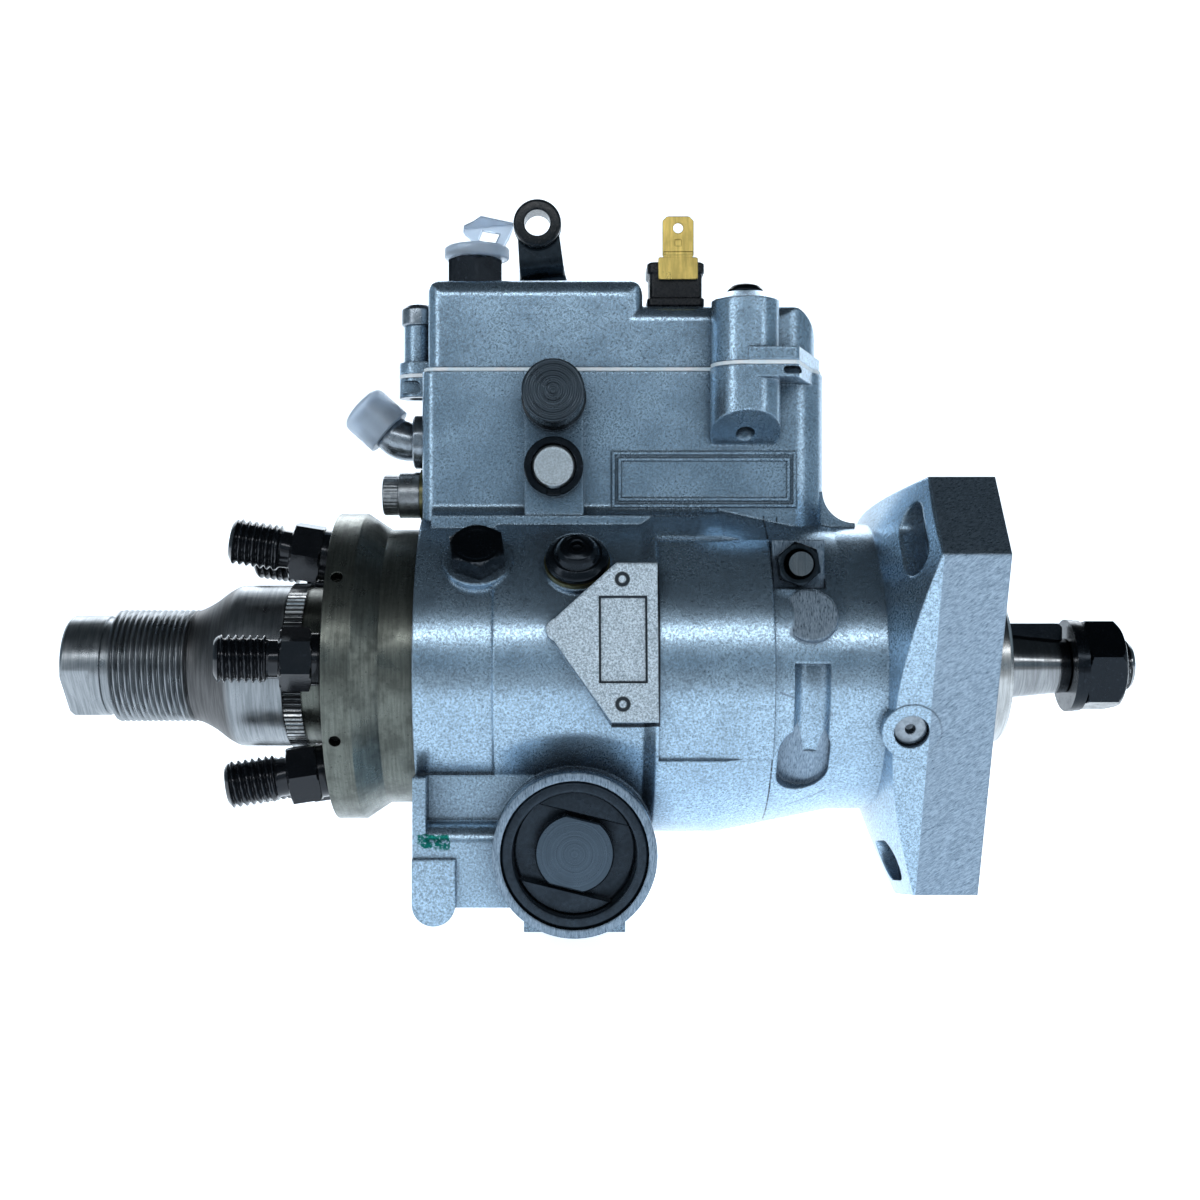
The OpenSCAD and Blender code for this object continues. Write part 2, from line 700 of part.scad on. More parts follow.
module throttle_shaft_cap() color("black") difference() {
    union() {
        rod_y(throttle_x, throttle_z, pad_y - 5, pad_y, 8.3);
        rod_y(throttle_x, throttle_z, cap_front_y, pad_y - 5, 7.8);
    }
    rod_y(throttle_x, throttle_z, pad_y - 8, pad_y + over, 6);
}

module blanking_plug() color("silver") {
    rod_y(throttle_x, plug_z, pad_y - 9, pad_y, 5.6);
    rod_y(throttle_x, plug_z, pad_y, -box_half + 2, 4.5);
}

module plug_snap_ring() color("black") difference() {
    rod_y(throttle_x, plug_z, pad_y - 9.6, pad_y, 7.5);
    rod_y(throttle_x, plug_z, pad_y - 20, pad_y + over, 5.6);
    block([throttle_x - 1.6, pad_y - 12, plug_z - 12], [throttle_x + 1.6, pad_y - 8, plug_z - 4]);
}

// Cover

module governor_cover() color("lightsteelblue") difference() {
    union() {
        lid_block(cover_rear_x, cover_front_x, box_half - cover_inset, cover_z, low_top_z,
            box_rear_r, box_front_r, edge_r, end_r);
        lid_block(cover_rear_x, cover_step_x, box_half - cover_inset, cover_z, high_top_z,
            box_rear_r, box_rear_r, edge_r, edge_r);
        both_sides() post_z(screw_x, -screw_y, cover_z, low_top_z - 0.6, screw_boss_r - 0.3);
        both_sides() translate([screw_x, -screw_y, low_top_z - 0.6])
            cylinder(h = screw_head_z - low_top_z + 0.6, r1 = screw_boss_r - 0.3, r2 = 5);
        both_sides() corner_ear(cover_z, cover_z + 3.5);
        rear_ear(cover_z, cover_z + 3.2);
        post_z(rear_screw_x, 0, cover_z, rear_head_z, rear_boss_r);
    }
    plan_block(cover_rear_x + box_wall, cover_front_x - box_wall, box_half - cover_inset - box_wall,
        cover_z - over, low_top_z - box_wall, 1.5, box_front_r - box_wall);
    plan_block(cover_rear_x + box_wall, cover_step_x - box_wall, box_half - cover_inset - box_wall,
        cover_z - over, high_top_z - box_wall, 1.5, 1.5);
    both_sides() post_z(screw_x, -screw_y, 60, 120, screw_r);
    post_z(rear_screw_x, 0, 60, 120, screw_r);
    post_z(rear_screw_x, 0, rear_head_z, 120, rear_head_r + 0.3);
    post_z(return_x, 0, 60, 120, 5);
    post_z(terminal_x, terminal_y, 60, 120, 3);
}

module gasket_outline() {
    plan_block(rear_x + 0.4, box_front_x - 0.4, box_half - 0.2, joint_z, cover_z, box_rear_r, box_front_r);
    both_sides() post_z(screw_x, -screw_y, joint_z, cover_z, screw_boss_r - 0.1);
    both_sides() corner_ear(joint_z, cover_z);
    rear_ear(joint_z, cover_z);
}

module cover_gasket() color("white") difference() {
    gasket_outline();
    box_cavity(joint_z - over, cover_z + over);
    both_sides() post_z(screw_x, -screw_y, 60, 120, screw_r);
    post_z(rear_screw_x, 0, 60, 120, screw_r);
}

// Screw with a domed head of a given height below its dome, and a hexagon socket
module button_screw(x, y, head_z, tip_z, head_r, side_h) difference() {
    union() {
        post_z(x, y, tip_z, head_z, screw_r);
        translate([x, y, head_z]) cylinder(h = side_h, r = head_r);
        translate([x, y, head_z + side_h]) cylinder(h = 1.3, r1 = head_r, r2 = head_r - 1);
        translate([x, y, head_z + side_h + 1.3]) cylinder(h = 1.2, r1 = head_r - 1, r2 = head_r - 3);
    }
    translate([x, y, head_z + side_h + 0.8]) hexagon(3, 4);
}

module cover_screws() color("dimgray") {
    both_sides() button_screw(screw_x, -screw_y, screw_head_z, joint_z - 18.5, 4.7, 0.1);
    button_screw(rear_screw_x, 0, rear_head_z, joint_z - 3.6, rear_head_r, 3.4);
}

// Shut-off solenoid under the cover

coil_x = [cam_x + 19.5, cam_x + 41.5];
roof_z = low_top_z - box_wall;
coil_z = roof_z - 6.8;

module shutoff_coil() color("peru") {
    block([coil_x[0], -7, roof_z - 1.6], [coil_x[1], 7, roof_z]);
    block([coil_x[0], -7, coil_z - 5], [coil_x[0] + 1.6, 7, roof_z - 1]);
    translate([0, 0, coil_z]) disc_x(coil_x[0] + 1.5, coil_x[1] - 3, 5);
}

module shutoff_armature() color("silver") {
    block([coil_x[0] + 1, -6, coil_z - 6.6], [coil_x[1] - 3, 6, coil_z - 5.4]);
    rod_y(coil_x[0] + 0.8, coil_z - 6, -6, 6, 0.8);
    block([coil_x[1] - 9, -1.5, arm_top_z + 3.6], [coil_x[1] - 7, 1.5, coil_z - 6]);
}

terminal_x = cam_x + 27.1;
terminal_y = -6;

module terminal_insulator() color("black") difference() {
    union() {
        block([terminal_x - 8, terminal_y - 7, low_top_z], [terminal_x + 7, terminal_y + 7, low_top_z + 11.5]);
        post_z(terminal_x, terminal_y, roof_z, low_top_z + 1, 3);
    }
    post_z(terminal_x, terminal_y, low_top_z - 12, low_top_z + 20, 1.5);
}

blade_y = terminal_y - 7.8;

module terminal_blade() color("goldenrod") difference() {
    union() {
        block([terminal_x - 5.2, blade_y, low_top_z + 6.8],
            [terminal_x + 5.2, blade_y + 0.8, low_top_z + 12.6]);
        prism_y(blade_y, blade_y + 0.8) polygon([
            [terminal_x - 4.1, low_top_z + 12], [terminal_x + 4.1, low_top_z + 12],
            [terminal_x + 4.1, low_top_z + 22.1],
            [terminal_x + 2.9, low_top_z + 23.3], [terminal_x - 2.9, low_top_z + 23.3],
            [terminal_x - 4.1, low_top_z + 22.1]
        ]);
    }
    rod_y(terminal_x, low_top_z + 20.2, blade_y - over, blade_y + 2, 1.3);
}

// Fuel return and elbow

return_x = rear_x + 13;
return_z = high_top_z;

module return_fitting() color("dimgray") difference() {
    union() {
        post_z(return_x, 0, high_top_z - box_wall, high_top_z, 5);
        translate([return_x, 0, high_top_z]) hexagon(14.2, 7.9);
        post_z(return_x, 0, high_top_z + 7.8, high_top_z + 10, 6);
    }
    post_z(return_x, 0, high_top_z - 8, high_top_z + 20, 2);
}

// The elbow leaves the rear wall and turns up and back
module at_elbow() translate([rear_x - 7, 0, elbow_z]) rotate([0, -elbow_tilt, 0]) children();

module elbow_fitting() color("silver") difference() {
    union() {
        translate([0, 0, elbow_z]) disc_x(rear_x - 5, rear_x + 7, 4);
        translate([rear_x - 3.4, 0, elbow_z]) rotate([0, 90, 0]) rotate(30) hexagon(14, 3.4);
        translate([rear_x - 7, 0, elbow_z]) sphere(5.3);
        at_elbow() translate([0, 0, -4]) cylinder(h = 16.5, r = 4.6);
    }
    at_elbow() translate([0, 0, -0.5]) cylinder(h = 20, r = 2);
    translate([0, 0, elbow_z]) disc_x(rear_x - 6.6, rear_x + 10, 1.8);
}

module shipping_caps() color("aliceblue", 0.6) {
    difference() {
        union() {
            post_z(return_x + 0.5, 0, high_top_z + 7.95, high_top_z + 11.3, 8.7);
            translate([return_x, 0, high_top_z]) prism_y(-0.9, 0.9) polygon([
                [0, 10.8], [7.6, 10.8], [10.4, 16.6], [10.4, 18], [1.6, 19.9],
                [-0.6, 18.2], [-3, 17.2], [-3.2, 15], [-1.4, 14]
            ]);
        }
        post_z(return_x, 0, high_top_z, high_top_z + 10.2, 6.05);
        translate([return_x, 0, high_top_z]) prism_y(-2, 2)
            polygon([[1, 13.2], [5.4, 12.1], [6.8, 14.9], [2, 15.8]]);
    }
    at_elbow() difference() {
        union() {
            translate([0, 0, 4]) cylinder(h = 9.6, r = 6.95);
            translate([0, 0, 13.5]) cylinder(h = 1.1, r1 = 6.95, r2 = 5.2);
            translate([0, 0, 14.5]) cylinder(h = 0.7, r1 = 5.2, r2 = 2.4);
        }
        cylinder(h = 13, r = 4.65);
    }
}

// Screwed plugs: one at the rear, one over the cam and one in the flange's side
module screw_plugs() color("dimgray") {
    translate([0, 0, socket_z]) difference() {
        union() {
            disc_x(rear_x - 1.6, rear_x + 7, 4);
            disc_x(rear_x - 7.4, rear_x - 1.5, 6.2);
            disc_x(rear_x - 11.6, rear_x - 7.3, 5.4);
        }
        translate([rear_x - 12, 0, 0]) rotate([0, 90, 0]) hexagon(5, 5);
    }
    radial(plug_x, plug_angle) translate([0, 0, barrel_r + seat_lift]) difference() {
        union() {
            translate([0, 0, -8.5]) cylinder(h = 10, r = 5);
            translate([0, 0, 1.2]) cylinder(h = 1.6, r = 7.9);
            translate([0, 0, 2.7]) cylinder(h = 1.5, r1 = 7.9, r2 = 6.2);
            translate([0, 0, 4.1]) cylinder(h = 2.1, r1 = 5.6, r2 = 4.4);
            translate([0, 0, 6.1]) cylinder(h = 1.1, r1 = 4.4, r2 = 2.6);
        }
        translate([0, 0, 4.5]) hexagon(3, 5);
    }
    side_port() translate([0, 0, -6]) difference() {
        cylinder(h = 4.6, r = side_plug_r);
        translate([0, 0, 2]) cylinder(h = 5, r = 1.2);
    }
}

module sealing_washers() color("khaki") {
    radial(plug_x, plug_angle) translate([0, 0, barrel_r + seat_lift]) difference() {
        cylinder(h = 1.15, r = 8.2);
        translate([0, 0, -over]) cylinder(h = 5, r = 5);
    }
    translate([0, 0, socket_z]) ring_x(rear_x - 1.45, rear_x, 6.9, 4);
}

// Hydraulic head

module at_outlets() for (k = [0:outlet_count - 1])
    radial(head_rear_x, first_outlet + 360 / outlet_count * k) translate([0, 0, outlet_circle_r])
        rotate([0, outlet_splay - 90, 0]) children();

module hydraulic_head() color("darkolivegreen") difference() {
    turned([
        [0, insert_x], [insert_r, insert_x], [insert_r, rear_x + 8.8], [insert_r - 2, rear_x + 8.8],
        [insert_r - 2, rear_x + 6.6], [insert_r, rear_x + 6.6], [insert_r, rear_x], [neck_r, rear_x],
        [neck_r, rear_x - 9], [rim_r, rear_x - 15.4],
        [rim_r, head_rear_x + (rim_r - outlet_circle_r) * tan(outlet_splay)],
        [24, head_rear_x - (outlet_circle_r - 24) * tan(outlet_splay)], [21, head_rear_x - 2],
        [21, cap_x], [0, cap_x]
    ]);
    disc_x(cap_x - over, insert_x + over, rotor_r + running);
    disc_x(cap_x - over, head_rear_x + 1.5, liner_r);
    post_z(valve_x, 0, insert_r - 20, insert_r + 20, valve_r + running);
    for (a = [bolt_angle, 180 - bolt_angle]) radial(bolt_x, a)
        translate([0, 0, 26]) cylinder(h = 30, r = 4 + running);
    at_outlets() translate([0, 0, -9]) cylinder(h = 20, r = outlet_thread_r);
    for (a = [0:60:300]) radial(rear_x - 19.5, a + 35) translate([0, 0, rim_r - 3]) cylinder(h = 6, r = 1.5);
}

module head_bolts() color("dimgray") for (a = [bolt_angle, 180 - bolt_angle]) radial(bolt_x, a) {
    translate([0, 0, 27]) cylinder(h = barrel_r + seat_lift - 26.9, r = 4);
    intersection() {
        translate([0, 0, barrel_r + seat_lift]) rotate(10) hexagon(13, 5.3);
        translate([0, 0, barrel_r + seat_lift]) cylinder(h = 5.3, r1 = 10.8, r2 = 6.9);
    }
}

module discharge_fittings() color("black") at_outlets() difference() {
    union() {
        translate([0, 0, -8]) cylinder(h = 8.1, r = outlet_thread_r);
        cylinder(h = 2.1, r = 6.7);
        translate([0, 0, 2]) hexagon(14, 7.8);
        translate([0, 0, 9.7]) cylinder(h = 3.4, r = outlet_thread_r - 1);
        translate([0, 0, 13]) cylinder(h = 12.9, r = outlet_thread_r);
    }
    translate([0, 0, -9]) cylinder(h = 40, r = 1.5);
    translate([0, 0, 21.9]) cylinder(h = 4.1, r1 = 1.5, r2 = 4);
}

// Toothed ring that locks the end cap
module lock_ring() color("silver") difference() {
    translate([cap_x, 0, 0]) rotate([0, 90, 0]) linear_extrude(4.6)
        polygon([for (i = [0:2 * lock_teeth - 1]) polar(i % 2 == 0 ? 22.2 : 21.4, 180 * i / lock_teeth)]);
    disc_x(cap_x - over, cap_x + 10, 21, $fn = 180);
}

module end_cap() color("silver") difference() {
    turned([
        [inlet_bore_r, cap_x - 0.1], [cap_base_r, cap_x - 0.1], [cap_base_r, cap_x - 14.6], [20, cap_x - 17],
        [17.4, cap_x - 20.4], [15.8, cap_x - 23.2], [inlet_thread_r, cap_x - 25.4],
        [inlet_thread_r, cap_x - 47.2], [inlet_thread_r - 2.2, cap_x - 47.4],
        [inlet_thread_r - 2.2, cap_x - 49.4],
        [inlet_thread_r - 1.6, cap_x - 49.6], [inlet_thread_r - 1.6, cap_end_x + 1],
        [inlet_thread_r - 2.6, cap_end_x], [inlet_bore_r, cap_end_x], [inlet_bore_r, cap_x - 50],
        [inlet_bore_r - 2.8, cap_x - 50], [inlet_bore_r - 2.8, cap_x - 48.2], [inlet_bore_r, cap_x - 48.2]
    ]);
    for (s = [0, 180]) radial(cap_end_x, -44 + s) translate([-over, -20, 10.5]) cube([9, 40, 20]);
    disc_x(cap_x - 8, cap_x + over, rotor_r + 1);
}

// Transfer pump and regulator

liner_x = [cap_x + 0.1, head_rear_x + 1.4];
liner_off = 1.4;
blade_reach = 12.2;

module transfer_liner() color("gray") difference() {
    disc_x(liner_x[0], liner_x[1], liner_r);
    translate([0, 0, liner_off]) disc_x(liner_x[0] - over, liner_x[1] + over, 14);
}

module transfer_blades() color("dimgray") for (k = [0:3]) rotate([90 * k + 45, 0, 0])
    block([liner_x[0] + 0.2, 5, -1.2], [liner_x[1] - 0.2, blade_reach, 1.2]);

module regulator_piston() color("silver") ring_x(cap_x - 22, cap_x - 12, inlet_bore_r - running, 5);

module regulator_spring() color("silver") translate([cap_x - 48, 0, 0])
    rotate([0, 90, 0]) coil_spring(25.5, 6.6, 0.7, 7);

// Rotor, cam and plungers

module rotor() color("silver") difference() {
    turned([
        [0, liner_x[0] + 0.1], [rotor_r - 1, liner_x[0] + 0.1],
        [rotor_r - 1, liner_x[1] + 0.5], [rotor_r, liner_x[1] + 0.5],
        [rotor_r, insert_x + 0.5], [rotor_head_r, insert_x + 0.5], [rotor_head_r, cam_x + 9], [0, cam_x + 9]
    ]);
    for (s = [-1, 1]) translate([cam_x, 0, 0]) mirror([0, 0, s < 0 ? 1 : 0]) {
        cylinder(h = 30, r = plunger_r);
        translate([-7.3, -5.7, shoe_z - cam_lift - 0.2]) cube([14.6, 11.4, 20]);
    }
    block([cam_x + 4.6, -7.1, -3.1], [cam_x + 10, 7.1, 3.1]);
    for (k = [0:1]) rotate([90 * k + 45, 0, 0]) block([liner_x[0] - over, -20, -1.2],
        [liner_x[1] + 0.3, 20, 1.2]);
}

module upper_or_lower(k) mirror([0, 0, k == 2 ? 1 : 0]) children();

module plunger(k) color("silver") upper_or_lower(k) post_z(cam_x, 0, cam_lift + 1, shoe_z, plunger_r - running);

module roller_shoe(k) color("gray") upper_or_lower(k) difference() {
    block([cam_x - 6, -5.6, shoe_z], [cam_x + 6, 5.6, roller_at - 0.4]);
    translate([0, 0, roller_at]) disc_x(cam_x - 10, cam_x + 10, roller_r + running);
}

module cam_roller(k) color("silver") upper_or_lower(k) translate([0, 0, roller_at])
    disc_x(cam_x - 6, cam_x + 6, roller_r);

cam_steps = 144;

function cam_radius(a) = cam_base_r - cam_lift * (1 - cos(cam_lobes * a)) / 2;

module cam_ring() color("darkgray") difference() {
    disc_x(cam_x - cam_w / 2 + 0.1, cam_x + cam_w / 2 - 0.1, cam_r);
    prism_x(cam_x - 10, cam_x + 10) rotate(90)
        polygon([for (i = [0:cam_steps - 1]) polar(cam_radius(360 * i / cam_steps), 360 * i / cam_steps)]);
    post_z(cam_x, 0, -50, -20, pin_r);
}

module cam_pin() color("silver") post_z(cam_x, 0, advance_z - 4, -cam_base_r - 0.6, pin_r);

// Advance mechanism

module advance_piston() color("silver") difference() {
    rod_y(cam_x, advance_z, -22, 20, piston_r);
    post_z(cam_x, 0, advance_z - 6, advance_z + 20, pin_r + 1.8);
    rod_y(cam_x, advance_z, 10, 21, 7);
}

module advance_spring() color("silver") translate([cam_x, cap_seat_y - 0.2, advance_z]) rotate([90, 0, 0])
    coil_spring(cap_seat_y - 10.4, 5.4, 0.8, 5);

// Screwed cap: a deep ring, a round grip with two flats in the middle, and a ledge beyond each flat
cap_recess_r = cap_r - 3;

module cap_slab(width) translate([cam_x, -advance_face_y, advance_z]) rotate([0, 13.9, 0])
    cube([2 * cap_r + 2, 40, width], center = true);

module advance_caps() color("darkslategray") both_sides() difference() {
    rod_y(cam_x, advance_z, -advance_face_y + 0.6, -cap_seat_y, cap_r);
    difference() {
        rod_y(cam_x, advance_z, -advance_face_y - over, -advance_face_y + 9, cap_recess_r);
        intersection() {
            rod_y(cam_x, advance_z, -advance_face_y + 2.6, -advance_face_y + 10, 9.6);
            cap_slab(17.2);
        }
        difference() {
            rod_y(cam_x, advance_z, -advance_face_y + 4.6, -advance_face_y + 10, cap_recess_r + over);
            cap_slab(18.8);
        }
    }
}

pump_housing();
pilot_tube();
rubber_seals();
drive_shaft();
shaft_key();
shaft_washers();
shaft_nut();
thrust_sleeve();
weight_retainer();
governor_weight(1);  // governor_weight_1
governor_weight(2);  // governor_weight_2
governor_weight(3);  // governor_weight_3
governor_weight(4);  // governor_weight_4
governor_weight(5);  // governor_weight_5
governor_weight(6);  // governor_weight_6
governor_arm();
arm_pivot_shaft();
pivot_nuts();
linkage_hook();
governor_spring();
metering_valve();
throttle_shaft();
throttle_lever();
lever_bush();
throttle_shaft_cap();
blanking_plug();
plug_snap_ring();
governor_cover();
cover_gasket();
cover_screws();
shutoff_coil();
shutoff_armature();
terminal_insulator();
terminal_blade();
return_fitting();
elbow_fitting();
shipping_caps();
screw_plugs();
sealing_washers();
hydraulic_head();
head_bolts();
rotor();
plunger(1);  // plunger_1
plunger(2);  // plunger_2
roller_shoe(1);  // roller_shoe_1
roller_shoe(2);  // roller_shoe_2
cam_roller(1);  // cam_roller_1
cam_roller(2);  // cam_roller_2
cam_ring();
cam_pin();
advance_piston();
advance_spring();
advance_caps();
discharge_fittings();
lock_ring();
end_cap();
transfer_liner();
transfer_blades();
regulator_piston();
regulator_spring();
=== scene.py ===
"""Looks of a rotary diesel injection pump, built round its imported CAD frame."""
import math

import bmesh
import bpy
import numpy as np
from mathutils import Matrix, Vector


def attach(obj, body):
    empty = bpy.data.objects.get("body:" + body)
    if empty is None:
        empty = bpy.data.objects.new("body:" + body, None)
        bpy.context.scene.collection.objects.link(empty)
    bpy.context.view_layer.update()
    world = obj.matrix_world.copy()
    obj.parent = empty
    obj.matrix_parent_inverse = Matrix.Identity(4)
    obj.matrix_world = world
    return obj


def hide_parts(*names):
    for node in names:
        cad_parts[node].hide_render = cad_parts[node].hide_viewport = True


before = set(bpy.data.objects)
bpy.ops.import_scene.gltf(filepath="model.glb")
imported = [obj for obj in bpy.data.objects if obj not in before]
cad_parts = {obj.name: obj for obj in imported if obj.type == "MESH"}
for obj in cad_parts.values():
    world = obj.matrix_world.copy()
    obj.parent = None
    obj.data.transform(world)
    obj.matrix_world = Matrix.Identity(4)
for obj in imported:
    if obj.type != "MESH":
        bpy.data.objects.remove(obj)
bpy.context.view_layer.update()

bl_info = {
    "name": "Rotary injection pump",
    "version": (1, 0, 0),
    "blender": (4, 5, 0),
    "location": "3D View > Sidebar > Pump",
    "description": "Finishes and small parts of a rotary diesel injection pump",
    "category": "Object",
}

MM = 0.001
REAR = -143.4
CAM = -103.5
BARREL = 42.4
HEAD_REAR = REAR - 24.1
CAP = REAR - 35.4
BOX_HALF = 17.0
JOINT = 77.2
LOW_TOP = JOINT + 1 + 16.7
HIGH_TOP = JOINT + 1 + 23.4
THROTTLE = (CAM - 5.3, JOINT - 7.8)
ADVANCE = -43.9
ELBOW = JOINT - 16.9
SCREW = (-59.6, BOX_HALF + 4.3)
TEETH = 90
OUTLINE_POINTS = 72
# Camera fitted to the photo, in the photo's pixels
FRAME, FOCAL, SIDEWAYS = 1200, 1628, 25


# Sizes and colours

class PumpSettings(bpy.types.PropertyGroup):
    line_pitch: bpy.props.FloatProperty(
        name="Line thread pitch", description="Pitch of the line fittings' thread",
        default=1.75 * MM, min=0.5 * MM, max=3 * MM, unit="LENGTH", precision=5)
    inlet_pitch: bpy.props.FloatProperty(
        name="Inlet thread pitch", description="Pitch of the rear cap's thread",
        default=1.5 * MM, min=0.5 * MM, max=3 * MM, unit="LENGTH", precision=5)
    shaft_pitch: bpy.props.FloatProperty(
        name="Shaft thread pitch", description="Pitch of the drive shaft's thread",
        default=1.5 * MM, min=0.5 * MM, max=3 * MM, unit="LENGTH", precision=5)
    edge_radius: bpy.props.FloatProperty(
        name="Casting edge", description="Radius that the light shows on the castings' edges",
        default=0.9 * MM, min=0, max=3 * MM, unit="LENGTH", precision=5)
    cast_colour: bpy.props.FloatVectorProperty(
        name="Cast aluminium", description="Colour of the castings", subtype="COLOR", size=3,
        min=0, max=1, default=(0.37, 0.50, 0.62))
    # Colour of the dark specks, and also of the painted shade in the castings' corners
    specks_and_shade_colour: bpy.props.FloatVectorProperty(
        name="Casting grime", description="Colour of the dark specks in the castings", subtype="COLOR",
        size=3, min=0, max=1, default=(0.030, 0.040, 0.055))
    head_colour: bpy.props.FloatVectorProperty(
        name="Head steel", description="Colour of the hydraulic head", subtype="COLOR", size=3,
        min=0, max=1, default=(0.135, 0.145, 0.128))
    zinc_colour: bpy.props.FloatVectorProperty(
        name="Zinc plate", description="Colour of the plated small parts", subtype="COLOR", size=3,
        min=0, max=1, default=(0.30, 0.34, 0.38))
    brass_colour: bpy.props.FloatVectorProperty(
        name="Brass", description="Colour of the blade terminal", subtype="COLOR", size=3,
        min=0, max=1, default=(0.68, 0.50, 0.15))
    cap_colour: bpy.props.FloatVectorProperty(
        name="Shipping caps", description="Colour of the translucent caps", subtype="COLOR", size=3,
        min=0, max=1, default=(0.62, 0.72, 0.84))


def settings():
    return bpy.context.scene.pump_settings


# Shapes

def shift(x, y, z):
    return Matrix.Translation((x, y, z))


def spin(degrees, axis):
    return Matrix.Rotation(math.radians(degrees), 4, axis)


def turn_x(x):
    """Local Z along the shaft's axis, from station x."""
    return shift(x, 0, 0) @ spin(90, "Y")


def turn_radial(x, angle):
    """Local Z outward at an angle above the near horizontal."""
    return shift(x, 0, 0) @ spin(90 - angle, "X")


def turn_back(x):
    """Local Z against the shaft's axis, from station x."""
    return shift(x, 0, 0) @ spin(-90, "Y")


def turn_near(x, z, y=0.0):
    """Local Z towards the near side, from depth y."""
    return shift(x, y, z) @ spin(90, "X")


def hexagon(angle, across, turn=0.0):
    """Distance to the side of a regular hexagon: half the width across flats over the cosine of the
    angle from the nearest flat's middle."""
    off = (angle - turn + np.pi / 6) % (np.pi / 3) - np.pi / 6
    return across / 2 / np.cos(off)


def hexed(over, across, turn):
    """Shape that cuts a turned part to a hexagon where its radius is over a bound."""
    turn = math.radians(turn)
    return lambda z, angle, r: np.where(r > over, np.minimum(hexagon(angle, across, turn), r), r)


def thread(z, angle, pitch, depth, start, end):
    """Height of a thread's flank: a triangle wave with its crest cut flat, on the helix where z over the
    pitch less the angle over a turn is whole, and faded to nothing over one pitch at both ends."""
    phase = (z / pitch - angle / (2 * np.pi)) % 1.0
    wave = np.clip(np.abs(phase - 0.5) * 2.6 - 0.2, 0, 1)
    fade = np.clip((z - start) / pitch, 0, 1) * np.clip((end - z) / pitch, 0, 1)
    return -depth * wave * np.minimum(fade * 1.6, 1)


def rounded(points, radius, steps):
    """Profile with every corner replaced by a short curve: the quadratic curve from a point before the
    corner to a point after it, each no further off than half of its own leg."""
    p = np.asarray(points, float)
    rows = [p[0]]
    for before, corner, after in zip(p[:-2], p[1:-1], p[2:]):
        a, b = before - corner, after - corner
        la, lb = np.linalg.norm(a), np.linalg.norm(b)
        if la < 1e-9 or lb < 1e-9:
            rows.append(corner)
            continue
        start = corner + a / la * min(radius, la * 0.45)
        end = corner + b / lb * min(radius, lb * 0.45)
        t = np.linspace(0, 1, steps + 1)[:, None]
        rows.extend((1 - t) ** 2 * start + 2 * t * (1 - t) * corner + t ** 2 * end)
    rows.append(p[-1])
    return np.array(rows)


def resampled(points, step):
    """Profile with extra points on its long legs, evenly spaced and no further apart than the step."""
    p = np.asarray(points, float)
    rows = [p[:1]]
    for a, b in zip(p[:-1], p[1:]):
        count = max(1, int(math.ceil(np.linalg.norm(b - a) / step)))
        t = np.linspace(0, 1, count + 1)[1:, None]
        rows.append(a + (b - a) * t)
    return np.concatenate(rows)


def grid_faces(rows, columns, wrap_rows):
    """Quads between neighbouring rows and columns of a grid whose columns close on themselves."""
    r = np.arange(rows if wrap_rows else rows - 1)[:, None]
    c = np.arange(columns)[None, :]
    r2, c2 = (r + 1) % rows, (c + 1) % columns
    return np.stack([r * columns + c, r * columns + c2, r2 * columns + c2, r2 * columns + c], -1).reshape(-1, 4)


def turned(profile, columns, place, shape=None, wrap=False):
    """Surface of revolution in millimetres: each profile point (height, radius) becomes a circle about
    local Z, and shape(height, angle, radius) may bend the circle into another outline."""
    p = np.asarray(profile, float)
    angle = np.linspace(0, 2 * np.pi, columns, endpoint=False)[None, :]
    z, r = p[:, 0:1], p[:, 1:2]
    r = r + 0 * angle if shape is None else shape(z, angle, r) + 0 * angle
    grid = np.stack([r * np.cos(angle), r * np.sin(angle), z + 0 * angle], -1).reshape(-1, 3)
    return moved(grid, place), grid_faces(len(p), columns, wrap)


def moved(points, place):
    m = np.array(place)
    return points @ m[:3, :3].T + m[:3, 3]


def swept(path, radius, columns, up):
    """Round bar along a path: at each point a circle of its own radius, across the path's direction."""
    p = np.asarray(path, float)
    along = np.gradient(p, axis=0)
    along /= np.linalg.norm(along, axis=1, keepdims=True)
    side = np.cross(along, up)
    side /= np.linalg.norm(side, axis=1, keepdims=True)
    top = np.cross(side, along)
    angle = np.linspace(0, 2 * np.pi, columns, endpoint=False)
    rim = np.cos(angle)[None, :, None] * side[:, None] + np.sin(angle)[None, :, None] * top[:, None]
    grid = p[:, None] + radius[:, None, None] * rim
    return grid.reshape(-1, 3), grid_faces(len(p), columns, False)


def slab(outline, low, high, place, edge):
    """Plate between two heights with the outline's points as its rim, its edges cut by a small chamfer:
    the outline drawn in towards its middle by the chamfer's width at both faces."""
    o = np.asarray(outline, float)
    before, after = np.roll(o, 1, 0), np.roll(o, -1, 0)
    a, b = o - before, after - o
    na = np.stack([a[:, 1], -a[:, 0]], -1) / np.linalg.norm(a, axis=1, keepdims=True)
    nb = np.stack([b[:, 1], -b[:, 0]], -1) / np.linalg.norm(b, axis=1, keepdims=True)
    n = na + nb
    n = n / np.maximum((n * n).sum(1, keepdims=True), 0.4) * 2
    area = (o[:, 0] * after[:, 1] - after[:, 0] * o[:, 1]).sum()
    inset = o - n * edge * (1 if area > 0 else -1)
    rings = [(inset, low), (o, low + edge), (o, high - edge), (inset, high)]
    grid = np.concatenate([np.column_stack([ring, np.full(len(o), z)]) for ring, z in rings])
    faces = [list(f) for f in grid_faces(len(rings), len(o), False)]
    faces.append(list(range(len(o)))[::-1])
    faces.append(list(range((len(rings) - 1) * len(o), len(rings) * len(o))))
    return moved(grid, place), faces


